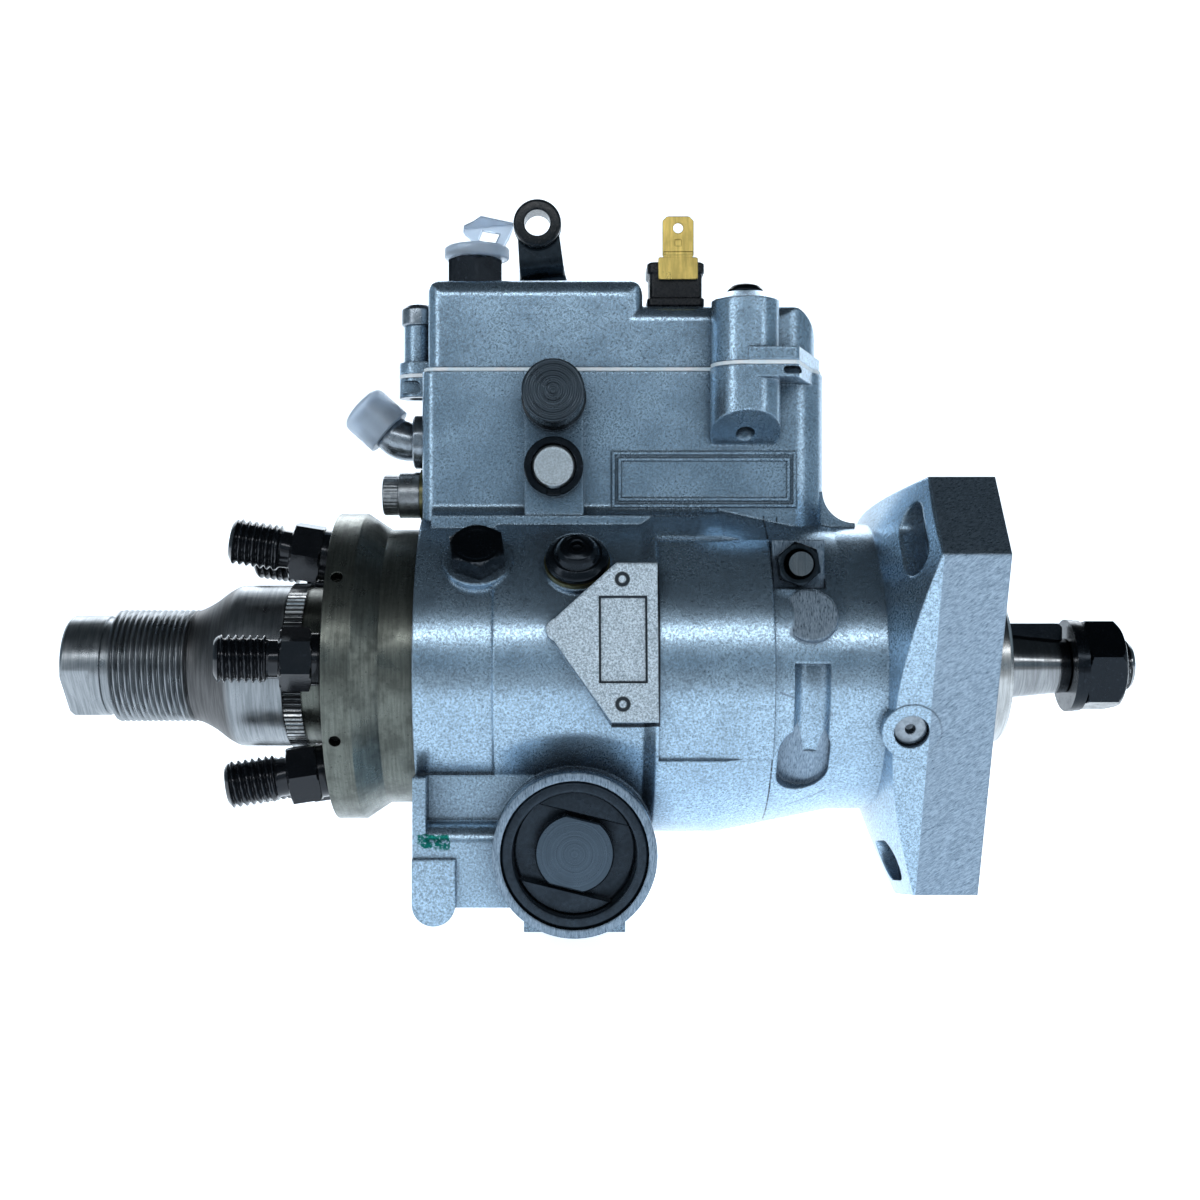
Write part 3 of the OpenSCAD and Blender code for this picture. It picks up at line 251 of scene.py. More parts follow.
def arc(cx, cy, r, start, end, steps):
    """Points on a circle from one angle to another, in degrees."""
    a = np.radians(np.linspace(start, end, steps + 1))
    return np.column_stack([cx + r * np.cos(a), cy + r * np.sin(a)])


def piece(name, parts, key, slot, *stands_for, body="housing", sharp=32):
    """One mesh from several surfaces given in millimetres, with doubles merged and faces turned outward. It has
    the finish of that key, rides on a body and takes the place of CAD nodes."""
    points, faces, base = [], [], 0
    for grid, quads in parts:
        points.append(grid)
        faces.extend([[int(i) + base for i in f] for f in quads])
        base += len(grid)
    mesh = bpy.data.meshes.new(name)
    mesh.from_pydata((np.concatenate(points) * MM).tolist(), [], faces)
    work = bmesh.new()
    work.from_mesh(mesh)
    bmesh.ops.remove_doubles(work, verts=work.verts, dist=2e-7)
    bmesh.ops.dissolve_degenerate(work, edges=work.edges, dist=1e-8)
    bmesh.ops.recalc_face_normals(work, faces=work.faces)
    work.to_mesh(mesh)
    work.free()
    mesh.polygons.foreach_set("use_smooth", np.ones(len(mesh.polygons), bool))
    mesh.set_sharp_from_angle(angle=math.radians(sharp))
    obj = bpy.data.objects.new(name, mesh)
    bpy.context.scene.collection.objects.link(obj)
    mesh.materials.append(finish(key))
    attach(obj, body)
    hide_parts(*stands_for)
    return obj


def paint_faces(obj, key, chosen):
    """Second finish for the faces whose middles, in millimetres, are chosen."""
    middle = np.zeros(len(obj.data.polygons) * 3)
    obj.data.polygons.foreach_get("center", middle)
    obj.data.materials.append(finish(key))
    obj.data.polygons.foreach_set("material_index", chosen(middle.reshape(-1, 3) / MM).astype(int))


# Materials

def smooth_range(node, low, high, a, b):
    """Makes a range node go smoothly from a to b while its value goes from low to high."""
    node.interpolation_type = "SMOOTHSTEP"
    for key, v in zip(("From Min", "From Max", "To Min", "To Max"), (low, high, a, b)):
        node.inputs[key].default_value = v


class Nodes:
    """Short hand for a material's node tree."""

    def __init__(self, name):
        old = bpy.data.materials.get(name)
        if old:
            bpy.data.materials.remove(old)
        self.material = bpy.data.materials.new(name)
        self.material.use_nodes = True
        self.tree = self.material.node_tree
        self.shader = self.tree.nodes["Principled BSDF"]
        self.place = self.tree.nodes.new("ShaderNodeTexCoord").outputs["Object"]

    def link(self, a, b):
        self.tree.links.new(a, b)

    def feed(self, socket, value):
        if isinstance(value, bpy.types.NodeSocket):
            self.link(value, socket)
        elif isinstance(value, (tuple, list)) and len(value) == 3 and len(socket.default_value) == 4:
            socket.default_value = (*value, 1)
        else:
            socket.default_value = value

    def stretch(self, lengths, turn=(0, 0, 0)):
        """Object coordinates turned, then divided by a length for each axis, so that a pattern is drawn out
        into lines along the longest."""
        n = self.tree.nodes.new("ShaderNodeMapping")
        n.vector_type = "TEXTURE"
        self.link(self.place, n.inputs["Vector"])
        n.inputs["Scale"].default_value = lengths
        n.inputs["Rotation"].default_value = turn
        return n.outputs["Vector"]

    def noise(self, scale, detail=3.0, rough=0.5, vector=None):
        n = self.tree.nodes.new("ShaderNodeTexNoise")
        self.link(vector or self.place, n.inputs["Vector"])
        n.inputs["Scale"].default_value = scale
        n.inputs["Detail"].default_value = detail
        n.inputs["Roughness"].default_value = rough
        return n.outputs["Fac"]

    def ramp(self, value, low, high, a=0.0, b=1.0):
        n = self.tree.nodes.new("ShaderNodeMapRange")
        smooth_range(n, low, high, a, b)
        self.feed(n.inputs["Value"], value)
        return n.outputs["Result"]

    def math(self, how, a, b=0.0):
        n = self.tree.nodes.new("ShaderNodeMath")
        n.operation = how
        self.feed(n.inputs[0], a)
        self.feed(n.inputs[1], b)
        return n.outputs["Value"]

    def mix(self, fac, a, b):
        n = self.tree.nodes.new("ShaderNodeMix")
        n.data_type = "RGBA"
        self.feed(n.inputs["Factor"], fac)
        self.feed(n.inputs[6], a)
        self.feed(n.inputs[7], b)
        return n.outputs[2]

    def blend(self, fac, a, b):
        n = self.tree.nodes.new("ShaderNodeMix")
        self.feed(n.inputs["Factor"], fac)
        self.feed(n.inputs[2], a)
        self.feed(n.inputs[3], b)
        return n.outputs[0]

    def axis(self, which):
        n = self.tree.nodes.new("ShaderNodeSeparateXYZ")
        self.link(self.place, n.inputs["Vector"])
        return n.outputs[which]

    def distance(self, a="Y", b="Z", at=(0, 0)):
        """Distance from a line along the third axis, through a point in millimetres."""
        return self.hypot(self.minus(self.axis(a), at[0] * MM), self.minus(self.axis(b), at[1] * MM))

    def outside(self, a, b, middle, half):
        """How far a point lies outside a rectangle in the plane of two lengths, negative within it."""
        return self.either(*[self.minus(self.size(self.minus(v, m * MM)), h * MM)
                             for v, m, h in zip((a, b), middle, half)])

    def along(self, angle):
        """Distance from the shaft's axis in the direction of an angle above the near horizontal."""
        a = math.radians(angle)
        return self.plus(self.times(self.axis("Y"), -math.cos(a)), self.times(self.axis("Z"), math.sin(a)))

    def between(self, value, low, high, soft=0.12):
        """1 where the value lies between two bounds in millimetres, 0 elsewhere."""
        return self.times(self.ramp(value, (low - soft) * MM, (low + soft) * MM),
                          self.ramp(value, (high - soft) * MM, (high + soft) * MM, 1, 0))

    def chain(self, how, values):
        total = values[0]
        for value in values[1:]:
            total = self.math(how, total, value)
        return total

    def times(self, *values):
        return self.chain("MULTIPLY", values)

    def plus(self, *values):
        return self.chain("ADD", values)

    def either(self, *masks):
        return self.chain("MAXIMUM", masks)

    def minus(self, a, b):
        return self.math("SUBTRACT", a, b)

    def size(self, value):
        return self.math("ABSOLUTE", value)

    def hypot(self, p, q):
        return self.math("SQRT", self.plus(self.times(p, p), self.times(q, q)))

    def rings(self, distance, scale):
        """Fine turning marks: noise read along the distance from the axis alone."""
        n = self.tree.nodes.new("ShaderNodeCombineXYZ")
        self.link(distance, n.inputs["X"])
        return self.noise(scale, 3, 0.6, n.outputs["Vector"])

    def hollows(self, reach):
        """How open the surface is to its surroundings within a reach: 0 in corners, 1 on open faces."""
        n = self.tree.nodes.new("ShaderNodeAmbientOcclusion")
        n.samples = 3
        n.inputs["Distance"].default_value = reach
        return n.outputs["AO"]

    def corner_shaded(self, colour, reach, low, high, most, shade_colour):
        """Colour with painted shade in the corners, up to a share."""
        return self.mix(self.ramp(self.hollows(reach), low, high, most, 0), colour, shade_colour)

    def bump(self, height, distance, strength, edge=0.0):
        n = self.tree.nodes.new("ShaderNodeBump")
        self.feed(n.inputs["Height"], height)
        n.inputs["Distance"].default_value = distance
        n.inputs["Strength"].default_value = strength
        if edge:
            e = self.tree.nodes.new("ShaderNodeBevel")
            e.samples = 4
            e.inputs["Radius"].default_value = edge
            self.link(e.outputs["Normal"], n.inputs["Normal"])
        self.link(n.outputs["Normal"], self.shader.inputs["Normal"])

    def finish(self, colour, metallic, roughness, **more):
        s = self.shader.inputs
        self.feed(s["Base Color"], colour)
        s["Metallic"].default_value = metallic
        self.feed(s["Roughness"], roughness)
        for key, value in more.items():
            s[key.replace("_", " ").title().replace("Ior", "IOR")].default_value = value
        return self.material


def scaled(colour, by):
    return tuple(min(1.0, c * by) for c in colour)


def cast_aluminium(name, milled=None, blasted=None, dark=None, paint=None):
    """Pressure die casting: blue-grey with a fine mottle, clouds and stray scratches, and painted shade in its
    corners.
    Milled faces are paler with tool lines, blasted ones pale and matt, and inspection paint is green."""
    p = settings()
    n = Nodes(name)
    cast, specks_and_shade = tuple(p.cast_colour), tuple(p.specks_and_shade_colour)
    cloud = n.noise(70, 4, 0.6)
    grain = n.noise(1700, 5, 0.82)
    speck = n.noise(1400, 4, 0.75)
    colour = n.mix(n.ramp(grain, 0.26, 0.68), scaled(cast, 0.26), scaled(cast, 1.48))
    colour = n.mix(n.times(n.ramp(speck, 0.58, 0.70), 0.55), colour, specks_and_shade)
    colour = n.mix(n.ramp(cloud, 0.42, 0.72, 0, 0.30), colour, scaled(cast, 0.55))
    rough = n.ramp(n.plus(n.times(grain, 0.6), n.times(cloud, 0.4)), 0.35, 0.65, 0.30, 0.20)
    height = n.plus(n.times(grain, 0.25), n.times(cloud, 2.6))
    hair = n.size(n.minus(n.noise(95, 5, 0.62), 0.5))
    scratch = n.times(n.ramp(hair, 0.0012, 0.0035, 1, 0),
                      n.ramp(n.noise(60, 2, 0.5, n.stretch((1, 2, 1))), 0.58, 0.66))
    colour = n.mix(n.times(scratch, 0.7), colour, scaled(cast, 1.7))
    if blasted:
        mask = blasted(n)
        matt = n.mix(n.ramp(n.noise(2200, 3, 0.7), 0.36, 0.64), (0.30, 0.37, 0.43), (0.74, 0.84, 0.92))
        colour = n.mix(mask, colour, matt)
        rough = n.blend(mask, rough, n.ramp(speck, 0.3, 0.7, 0.42, 0.6))
    if milled:
        mask, lines = milled(n)
        bright = n.mix(n.ramp(lines, 0.28, 0.72), (0.12, 0.17, 0.22), (0.36, 0.45, 0.55))
        bright = n.mix(n.times(n.ramp(grain, 0.56, 0.7), 0.4), bright, (0.22, 0.27, 0.33))
        colour = n.mix(mask, colour, bright)
        rough = n.blend(mask, rough, n.ramp(lines, 0.3, 0.7, 0.26, 0.4))
        height = n.blend(mask, height, n.times(lines, 0.5))
    # Dark lines: dark joints in the seams, and painted shade beside raised lines and along the pad's edges
    if dark:
        colour = n.mix(dark(n), colour, (0.03, 0.037, 0.045))
    # Painted shade: darker in corners and creases, where the surface is closed in within 9 mm
    corner = n.ramp(n.hollows(0.009), 0.30, 0.88, 0.92, 0)
    colour = n.mix(n.times(corner, n.ramp(grain, 0.25, 0.5, 0.75, 1)), colour, specks_and_shade)
    if paint:
        colour = n.mix(paint(n), colour, (0.0, 0.12, 0.10))
    n.bump(height, 0.00008, 0.45, p.edge_radius)
    return n.finish(colour, 0.86, rough)


def housing_milled(n):
    """Faces of the housing that a cutter has touched, and the cutter's lines: slanted on the flange, upright on
    the pads."""
    x, y, z = n.axis("X"), n.axis("Y"), n.axis("Z")
    flange = n.ramp(x, -0.0162, -0.0158)
    nut_pad = n.times(n.between(x, -54.2, -40.6), n.between(z, 20.5, 33), n.ramp(n.size(y), 0.0308, 0.0312))
    out = n.along(20)
    round_pad = n.times(n.ramp(n.distance("X", "Z", (-45.2, 13.6)), 0.0068, 0.0070, 1, 0),
                        n.between(out, 38.3, 41), n.ramp(y, -0.030, -0.031))
    flat = n.times(n.between(x, -53.2, -39.6), n.between(n.along(-34), 36.98, 37.2, 0.04),
                   n.ramp(y, -0.02, -0.022))
    rear = n.times(n.ramp(x, (REAR + 0.3) * MM, (REAR + 0.1) * MM), n.ramp(n.distance(), 0.047, 0.0465, 0, 1))
    boss = n.times(n.ramp(n.size(y), 0.0478, 0.0479), n.ramp(z, -0.02, -0.021))
    slanted = n.noise(2700, 3, 0.85, n.stretch((60, 1, 1), (0, math.radians(-38), 0)))
    upright = n.noise(3600, 3, 0.75, n.stretch((1, 5, 5)))
    return n.either(flange, nut_pad, round_pad, flat, rear, boss), n.blend(flange, upright, slanted)


def housing_blasted(n):
    """Pale matt pad of the name plate, which stands above the barrel."""
    x, out = n.axis("X"), n.along(10)
    return n.times(n.between(x, CAM - 7.2, CAM + 20.6), n.ramp(out, 0.0433, 0.0436),
                   n.ramp(n.size(n.along(100)), 0.0206, 0.0202))


def housing_lines_and_shade(n):
    """Dark lines: round the name plate's pad, its window and its pin holes, beside the raised lines of the
    label field, and in the barrel's seams. The seams are dark joints; the lines beside the raised lines and
    along the pad's right and lower edges are painted shade."""
    x, out, up = n.axis("X"), n.along(10), n.along(100)
    marks = []
    for v in (15.4, -15.4):
        r = n.hypot(n.minus(x, (CAM + 11.7) * MM), n.minus(up, v * MM))
        marks.append(n.times(n.between(r, 0.9, 1.9, 0.2), n.ramp(out, 0.0425, 0.043)))
    window = n.times(n.between(n.outside(x, up, (CAM + 11.85, 0.5), (5.65, 10.5)), -0.25, 0.3, 0.1),
                     n.ramp(out, 0.0425, 0.043))
    field = n.outside(x, n.axis("Z"), (CAM + 33.6, JOINT - 28.15), (23.9, 7.15))
    # Painted shade beside the label field's raised lines
    raised_line_shade = n.times(n.either(n.between(field, 0.05, 0.45, 0.1), n.between(field, -1.55, -0.75, 0.1),
                            n.between(field, -2.7, -2.35, 0.1)),
                   n.ramp(n.axis("Y"), -0.0160, -0.0165), n.ramp(n.axis("Z"), 0.041, 0.0415))
    # Painted shadow along the pad's lower and right edges
    rim = n.times(n.between(up, -20.4, -19.7, 0.1), n.between(x, CAM + 9, CAM + 20.9))
    pad_edge_shadow = n.times(n.either(n.between(x, CAM + 20.35, CAM + 20.95, 0.1), rim), n.ramp(out, 0.0355, 0.036),
                     n.between(up, -20.4, 20), n.between(n.distance(), 41.8, 47))
    edge = n.either(window, n.times(raised_line_shade, 0.45), pad_edge_shadow)
    skin = n.times(n.between(n.distance(), 41.6, 43.1), n.ramp(n.axis("Y"), -0.012, -0.014))
    worn = n.ramp(n.noise(700, 3, 0.7), 0.36, 0.52, 0.35, 1)
    seams = n.times(n.either(n.between(x, -84.8, -84.45, 0.1), n.between(x, -54.6, -54.2, 0.12),
                             n.between(x, -51.2, -50.8, 0.12)), skin, worn)
    return n.either(edge, seams, *marks)


def housing_paint(n):
    """Dab of inspection paint on the rear lug."""
    x, y, z = n.axis("X"), n.axis("Y"), n.axis("Z")
    edge = n.times(n.noise(420, 3, 0.6), 0.004)
    return n.times(n.between(n.plus(x, edge), -140.0, -132.0, 0.3),
                   n.between(n.plus(z, edge), -41.4, -37.6, 0.3), n.ramp(y, -0.030, -0.032),
                   n.ramp(n.noise(900, 3, 0.7), 0.38, 0.5))


def turned_metal(name, colour, rough, metallic, stain, lines=900, lengths=(1, 1, 1), depth=0.00005, centre=None,
                 edge=0.0, corner_shade=0.5):
    """Turned or milled metal: fine tool lines round or along the piece, or in rings about a centre, with faint
    stains and painted shade in its corners."""
    n = Nodes(name)
    if centre:
        tool = n.rings(n.distance("X", "Z", centre), lines)
    else:
        tool = n.noise(lines, 3, 0.7, n.stretch(lengths))
    cloud = n.noise(120, 4, 0.6)
    spots = n.ramp(n.noise(1500, 3, 0.7), 0.62, 0.75)
    deep = scaled(colour, 0.4)
    c = n.mix(n.ramp(tool, 0.3, 0.7), scaled(colour, 0.78), scaled(colour, 1.18))
    c = n.mix(n.times(n.ramp(cloud, 0.5, 0.72), stain), c, deep)
    c = n.mix(n.times(spots, stain), c, deep)
    # Painted shade in the corners, up to the share given
    if corner_shade:
        c = n.corner_shaded(c, 0.003, 0.25, 0.8, corner_shade, scaled(colour, 0.12))
    n.bump(tool, depth, 0.6, edge)
    return n.finish(c, metallic, n.ramp(cloud, 0.3, 0.7, *rough))


def cap_steel(name):
    """Rear cap's steel: blue-grey base, sooty cone, pale thread and nose with a matt flat."""
    n = Nodes(name)
    x = n.axis("X")
    tool = n.noise(1500, 3, 0.7, n.stretch((1, 20, 20)))
    cone = n.between(x, CAP - 27, CAP - 14.6, 1.6)
    c = n.mix(n.ramp(tool, 0.3, 0.7), (0.20, 0.22, 0.235), (0.33, 0.35, 0.37))
    c = n.mix(cone, c, n.mix(n.ramp(tool, 0.3, 0.7), (0.07, 0.07, 0.072), (0.13, 0.13, 0.132)))
    c = n.mix(n.ramp(n.noise(1700, 3, 0.7), 0.60, 0.72, 0, 0.35), c, (0.08, 0.08, 0.08))
    # Painted shade in the cap's corners
    c = n.corner_shaded(c, 0.0012, 0.30, 0.85, 0.75, (0.02, 0.02, 0.02))
    n.bump(tool, 0.00004, 0.6)
    return n.finish(c, 0.95, n.blend(cone, n.ramp(n.noise(150, 3, 0.6), 0.3, 0.7, 0.26, 0.38), 0.44))


def toothed_steel(name):
    """Bright ring with teeth cut across its rim: a cosine of the angle round the shaft, times the teeth, is
    -1 at each tooth's crest and 1 in each gap."""
    n = Nodes(name)
    angle = n.math("ARCTAN2", n.axis("Z"), n.axis("Y"))
    wave = n.math("COSINE", n.times(angle, float(TEETH)))
    land = n.ramp(wave, -0.35, 0.45, 1, 0)
    # The gaps between the teeth, which only the bump draws, are painted near black: painted shade between the
    # teeth
    c = n.mix(land, (0.05, 0.052, 0.055), n.mix(n.ramp(n.noise(500, 3, 0.6), 0.4, 0.7), (0.62, 0.64, 0.65),
                                                (0.34, 0.35, 0.36)))
    # Painted shade in the ring's corners
    c = n.corner_shaded(c, 0.003, 0.25, 0.8, 0.9, (0.04, 0.04, 0.04))
    n.bump(land, 0.0001, 0.5)
    return n.finish(c, 1.0, n.ramp(land, 0, 1, 0.45, 0.22))


def head_steel(name):
    """Hydraulic head: olive-grey steel with turning lines, oil clouds and small dark pits."""
    p = settings()
    n = Nodes(name)
    head = tuple(p.head_colour)
    tool = n.noise(1300, 3, 0.7, n.stretch((1, 18, 18)))
    cloud = n.noise(140, 5, 0.65)
    c = n.mix(n.ramp(tool, 0.3, 0.7), scaled(head, 0.8), scaled(head, 1.25))
    c = n.mix(n.ramp(cloud, 0.46, 0.66, 0, 0.6), c, scaled(head, 0.42))
    c = n.mix(n.ramp(n.noise(1100, 3, 0.75), 0.60, 0.72, 0, 0.6), c, scaled(head, 0.2))
    # Painted shade in the head's corners
    c = n.corner_shaded(c, 0.004, 0.3, 0.85, 0.85, (0.012, 0.013, 0.011))
    n.bump(n.plus(tool, n.times(cloud, 0.8)), 0.00009, 0.6, 0.0004)
    return n.finish(c, 0.9, n.ramp(cloud, 0.3, 0.7, 0.24, 0.4))


def black_oxide(name, colour=(0.011, 0.015, 0.020), rough=(0.14, 0.30), pale=(0.08, 0.10, 0.13),
                metallic=0.85, coat=0.06):
    """Blackened steel, oily and glossy, with paler rubbed spots."""
    n = Nodes(name)
    cloud = n.noise(260, 4, 0.6)
    rub = n.ramp(n.noise(800, 4, 0.7), 0.60, 0.74)
    c = n.mix(n.times(rub, 0.45), colour, pale)
    n.bump(n.noise(1800, 3, 0.6), 0.00005, 0.5)
    return n.finish(c, metallic, n.ramp(cloud, 0.3, 0.7, *rough), coat_weight=coat, coat_roughness=0.1)


def moulded_plastic(name, colour, rough=(0.3, 0.45), metallic=0.0):
    """Moulded plastic with a faint orange-peel surface."""
    n = Nodes(name)
    skin = n.noise(1400, 3, 0.5)
    c = n.mix(n.ramp(n.noise(300, 3, 0.5), 0.3, 0.7), colour, scaled(colour, 1.4))
    n.bump(skin, 0.00006, 0.4, 0.0004)
    return n.finish(c, metallic, n.ramp(skin, 0.3, 0.7, *rough), specular_ior_level=0.28)


def milky_plastic(name, colour):
    """Thin translucent polyethylene: pale, soft and a little cloudy."""
    n = Nodes(name)
    cloud = n.noise(160, 3, 0.5)
    c = n.mix(n.ramp(cloud, 0.3, 0.7), colour, scaled(colour, 1.2))
    n.bump(cloud, 0.0003, 0.3)
    return n.finish(c, 0.0, n.ramp(cloud, 0.3, 0.7, 0.28, 0.42), transmission_weight=0.6)


def make_materials():
    p = settings()
    zinc = tuple(p.zinc_colour)
    return {
        "housing": cast_aluminium("housing_casting", housing_milled, housing_blasted,
                                  housing_lines_and_shade, housing_paint),
        "cover": cast_aluminium("cover_casting"),
        "head": head_steel("head_steel"),
        "cap": cap_steel("rear_cap_steel"),
        "steel": turned_metal("ground_steel", (0.46, 0.47, 0.47), (0.14, 0.30), 1.0, 0.2,
                              1600, (1, 20, 20), corner_shade=0),
        "ground": turned_metal("shaft_steel", (0.27, 0.28, 0.29), (0.10, 0.22), 1.0, 0.3, 1500, (1, 20, 20)),
        "toothed": toothed_steel("toothed_ring"),
        "black": black_oxide("black_screws"),
        "fitting": black_oxide("black_fittings", (0.012, 0.014, 0.018), (0.10, 0.22), (0.07, 0.085, 0.11),
                               0.6, 0.3),
        "zinc": turned_metal("zinc_plate", zinc, (0.20, 0.34), 0.95, 0.35, 700, edge=0.0003),
        "grey": turned_metal("grey_plug", (0.36, 0.38, 0.40), (0.26, 0.4), 0.92, 0.4, edge=0.0003),
        "pale": turned_metal("blasted_plug", (0.46, 0.52, 0.56), (0.40, 0.55), 0.9, 0.35, 2300, depth=0.0001),
        "dark_zinc": turned_metal("dark_plate", (0.022, 0.030, 0.038), (0.22, 0.34),
                                  0.95, 0.3, 700, edge=0.0003),
        "advance": turned_metal("advance_coating", (0.026, 0.037, 0.050), (0.22, 0.34), 0.75, 0.3),
        "grip": turned_metal("advance_grip", (0.070, 0.098, 0.128), (0.22, 0.34), 0.85, 0.15, 2400,
                             depth=0.00006, centre=(CAM, ADVANCE)),
        "disc": turned_metal("throttle_cap_face", (0.045, 0.060, 0.075), (0.24, 0.36), 0.8, 0.1, 2600,
                             depth=0.00007, centre=THROTTLE),
        "brass": turned_metal("dull_brass", tuple(p.brass_colour), (0.24, 0.38), 0.95, 0.3,
                              lengths=(1, 1, 9), edge=0.0003),
        "olive": turned_metal("olive_washer", (0.20, 0.19, 0.10), (0.26, 0.4), 0.9, 0.3),
        "matte": moulded_plastic("black_moulding", (0.007, 0.008, 0.010), (0.22, 0.34)),
        "bush": moulded_plastic("black_bush", (0.010, 0.013, 0.016), (0.18, 0.30)),
        "milky": milky_plastic("milky_cap", tuple(p.cap_colour)),
        "fibre": moulded_plastic("gasket_fibre", (0.80, 0.93, 1.0), (0.5, 0.7)),
        "rubber": moulded_plastic("seal_rubber", (0.012, 0.012, 0.012), (0.45, 0.6)),
        "coil": moulded_plastic("coil_winding", (0.20, 0.08, 0.03), (0.25, 0.4), 0.3),
    }


def finish(key):
    """Material of that kind, made with all the others the first time."""
    names = bpy.context.scene.get("pump_finishes")
    if names is None:
        made = make_materials()
        names = {k: m.name for k, m in made.items()}
        bpy.context.scene["pump_finishes"] = names
    return bpy.data.materials[names[key]]


# Finish of each CAD node; the nodes that a visual piece stands for are named too
CAD_FINISHES = {
    "housing": "pump_housing",
    "cover": "governor_cover",
    "fibre": "cover_gasket",
    "head": "hydraulic_head",
    "steel": "pilot_tube thrust_sleeve weight_retainer linkage_hook governor_spring metering_valve "
             "shutoff_armature rotor plunger_1 plunger_2 roller_shoe_1 roller_shoe_2 cam_roller_1 "
             "cam_roller_2 cam_ring cam_pin advance_piston advance_spring transfer_liner transfer_blades "
             "regulator_piston regulator_spring governor_weight_1 governor_weight_2 governor_weight_3 "
             "governor_weight_4 governor_weight_5 governor_weight_6",
    "zinc": "governor_arm throttle_lever elbow_fitting return_fitting",
    "rubber": "rubber_seals",
    "coil": "shutoff_coil",
    "ground": "arm_pivot_shaft",
    "black": "shaft_key plug_snap_ring throttle_shaft screw_plugs drive_shaft shaft_nut shaft_washers "
             "head_bolts discharge_fittings pivot_nuts cover_screws",
    "pale": "blanking_plug",
    "bush": "throttle_shaft_cap lever_bush",
    "matte": "terminal_insulator",
    "brass": "terminal_blade",
    "olive": "sealing_washers",
    "advance": "advance_caps",
    "toothed": "lock_ring",
    "cap": "end_cap",
    "milky": "shipping_caps",
}


# Operators

class PUMP_OT_castings(bpy.types.Operator):
    """Finishes the housing, the cover, the gasket and the parts inside"""
    bl_idname = "pump.castings"
    bl_label = "Castings and inner parts"

    def execute(self, context):
        for key, names in CAD_FINISHES.items():
            for name in names.split():
                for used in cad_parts[name].material_slots:
                    used.material = finish(key)
        return {"FINISHED"}


class PUMP_OT_line_fittings(bpy.types.Operator):
    """Six injection line fittings: hexagon, neck, M12 thread and the cone in its mouth"""
    bl_idname = "pump.line_fittings"
    bl_label = "Line fittings"

    def execute(self, context):
        pitch = settings().line_pitch / MM
        mouth = [(12, 0), (12, 1.5), (21.9, 1.5), (25.7, 4.0), (25.85, 4.5), (25.4, 5.2)]
        screw = resampled([(24.8, 6.0), (13.4, 6.0)], 0.14)
        stem = rounded([(13.0, 5.2), (12.4, 4.9), (10.2, 4.9), (9.8, 5.6), (9.8, 7.0), (9.35, 8.2), (2.5, 8.2),
                        (2.05, 7.1), (2.0, 6.7), (0.1, 6.7), (0.0, 6.4), (-0.2, 5.9), (-3, 5.9), (-3, 0)],
                       0.15, 2)
        profile = np.concatenate([mouth, screw, stem])

        def shape(z, angle, r):
            flats = np.where((z > 2.02) & (z < 9.79), np.minimum(hexagon(angle, 14.0), r), r)
            on = (z > 13.2) & (z < 25.0)
            return np.where(on, flats + thread(z, angle, pitch, 0.85, 13.2, 25.3), flats)

        for k in range(6):
            place = turn_radial(HEAD_REAR, 5 + 60 * k) @ shift(0, 0, 32.2) @ spin(-80, "Y") @ spin(17 * k, "Z")
            piece("line_fitting_%d" % (k + 1), [turned(profile, 84, place, shape)], "fitting", "black",
                  "discharge_fittings")
        return {"FINISHED"}


class PUMP_OT_rear_cap(bpy.types.Operator):
    """Rear cap: base, cone, M30 inlet thread, groove, and a nose with two flats"""
    bl_idname = "pump.rear_cap"
    bl_label = "Rear cap"

    def execute(self, context):
        pitch = settings().inlet_pitch / MM
        base = rounded([(0.1, 0), (0.1, 21.2), (0.5, 21.6), (14.2, 21.6), (17.0, 20.0), (20.4, 17.4),
                        (23.2, 15.8),
                        (25.2, 15.0)], 1.2, 4)
        screw = resampled([(25.6, 15.0), (46.9, 15.0)], 0.16)
        nose = rounded([(47.2, 14.2), (47.4, 12.8), (49.4, 12.8), (49.6, 13.4), (51.9, 13.4), (52.3, 13.4),
                        (59.3, 13.4),
                        (60.15, 12.5), (60.2, 11.8), (60.0, 9.4), (59.6, 9.0), (50.0, 9.0), (50.0, 6.2),
                        (48.2, 6.2),
                        (40.0, 0)], 0.25, 3)
        profile = np.concatenate([base, screw, nose])

        def shape(z, angle, r):
            facing = np.abs(np.cos(angle - math.radians(-134)))
            flat = np.where((z > 52.15) & (r > 9.2), np.minimum(r, 10.5 / np.maximum(facing, 0.05)), r)
            on = (z > 25.3) & (z < 47.1)
            return np.where(on, flat + thread(z, angle, pitch, 0.75, 25.3, 47.3), flat)

        piece("rear_cap", [turned(profile, 180, turn_back(CAP), shape)], "cap", "machined", "end_cap")
        return {"FINISHED"}


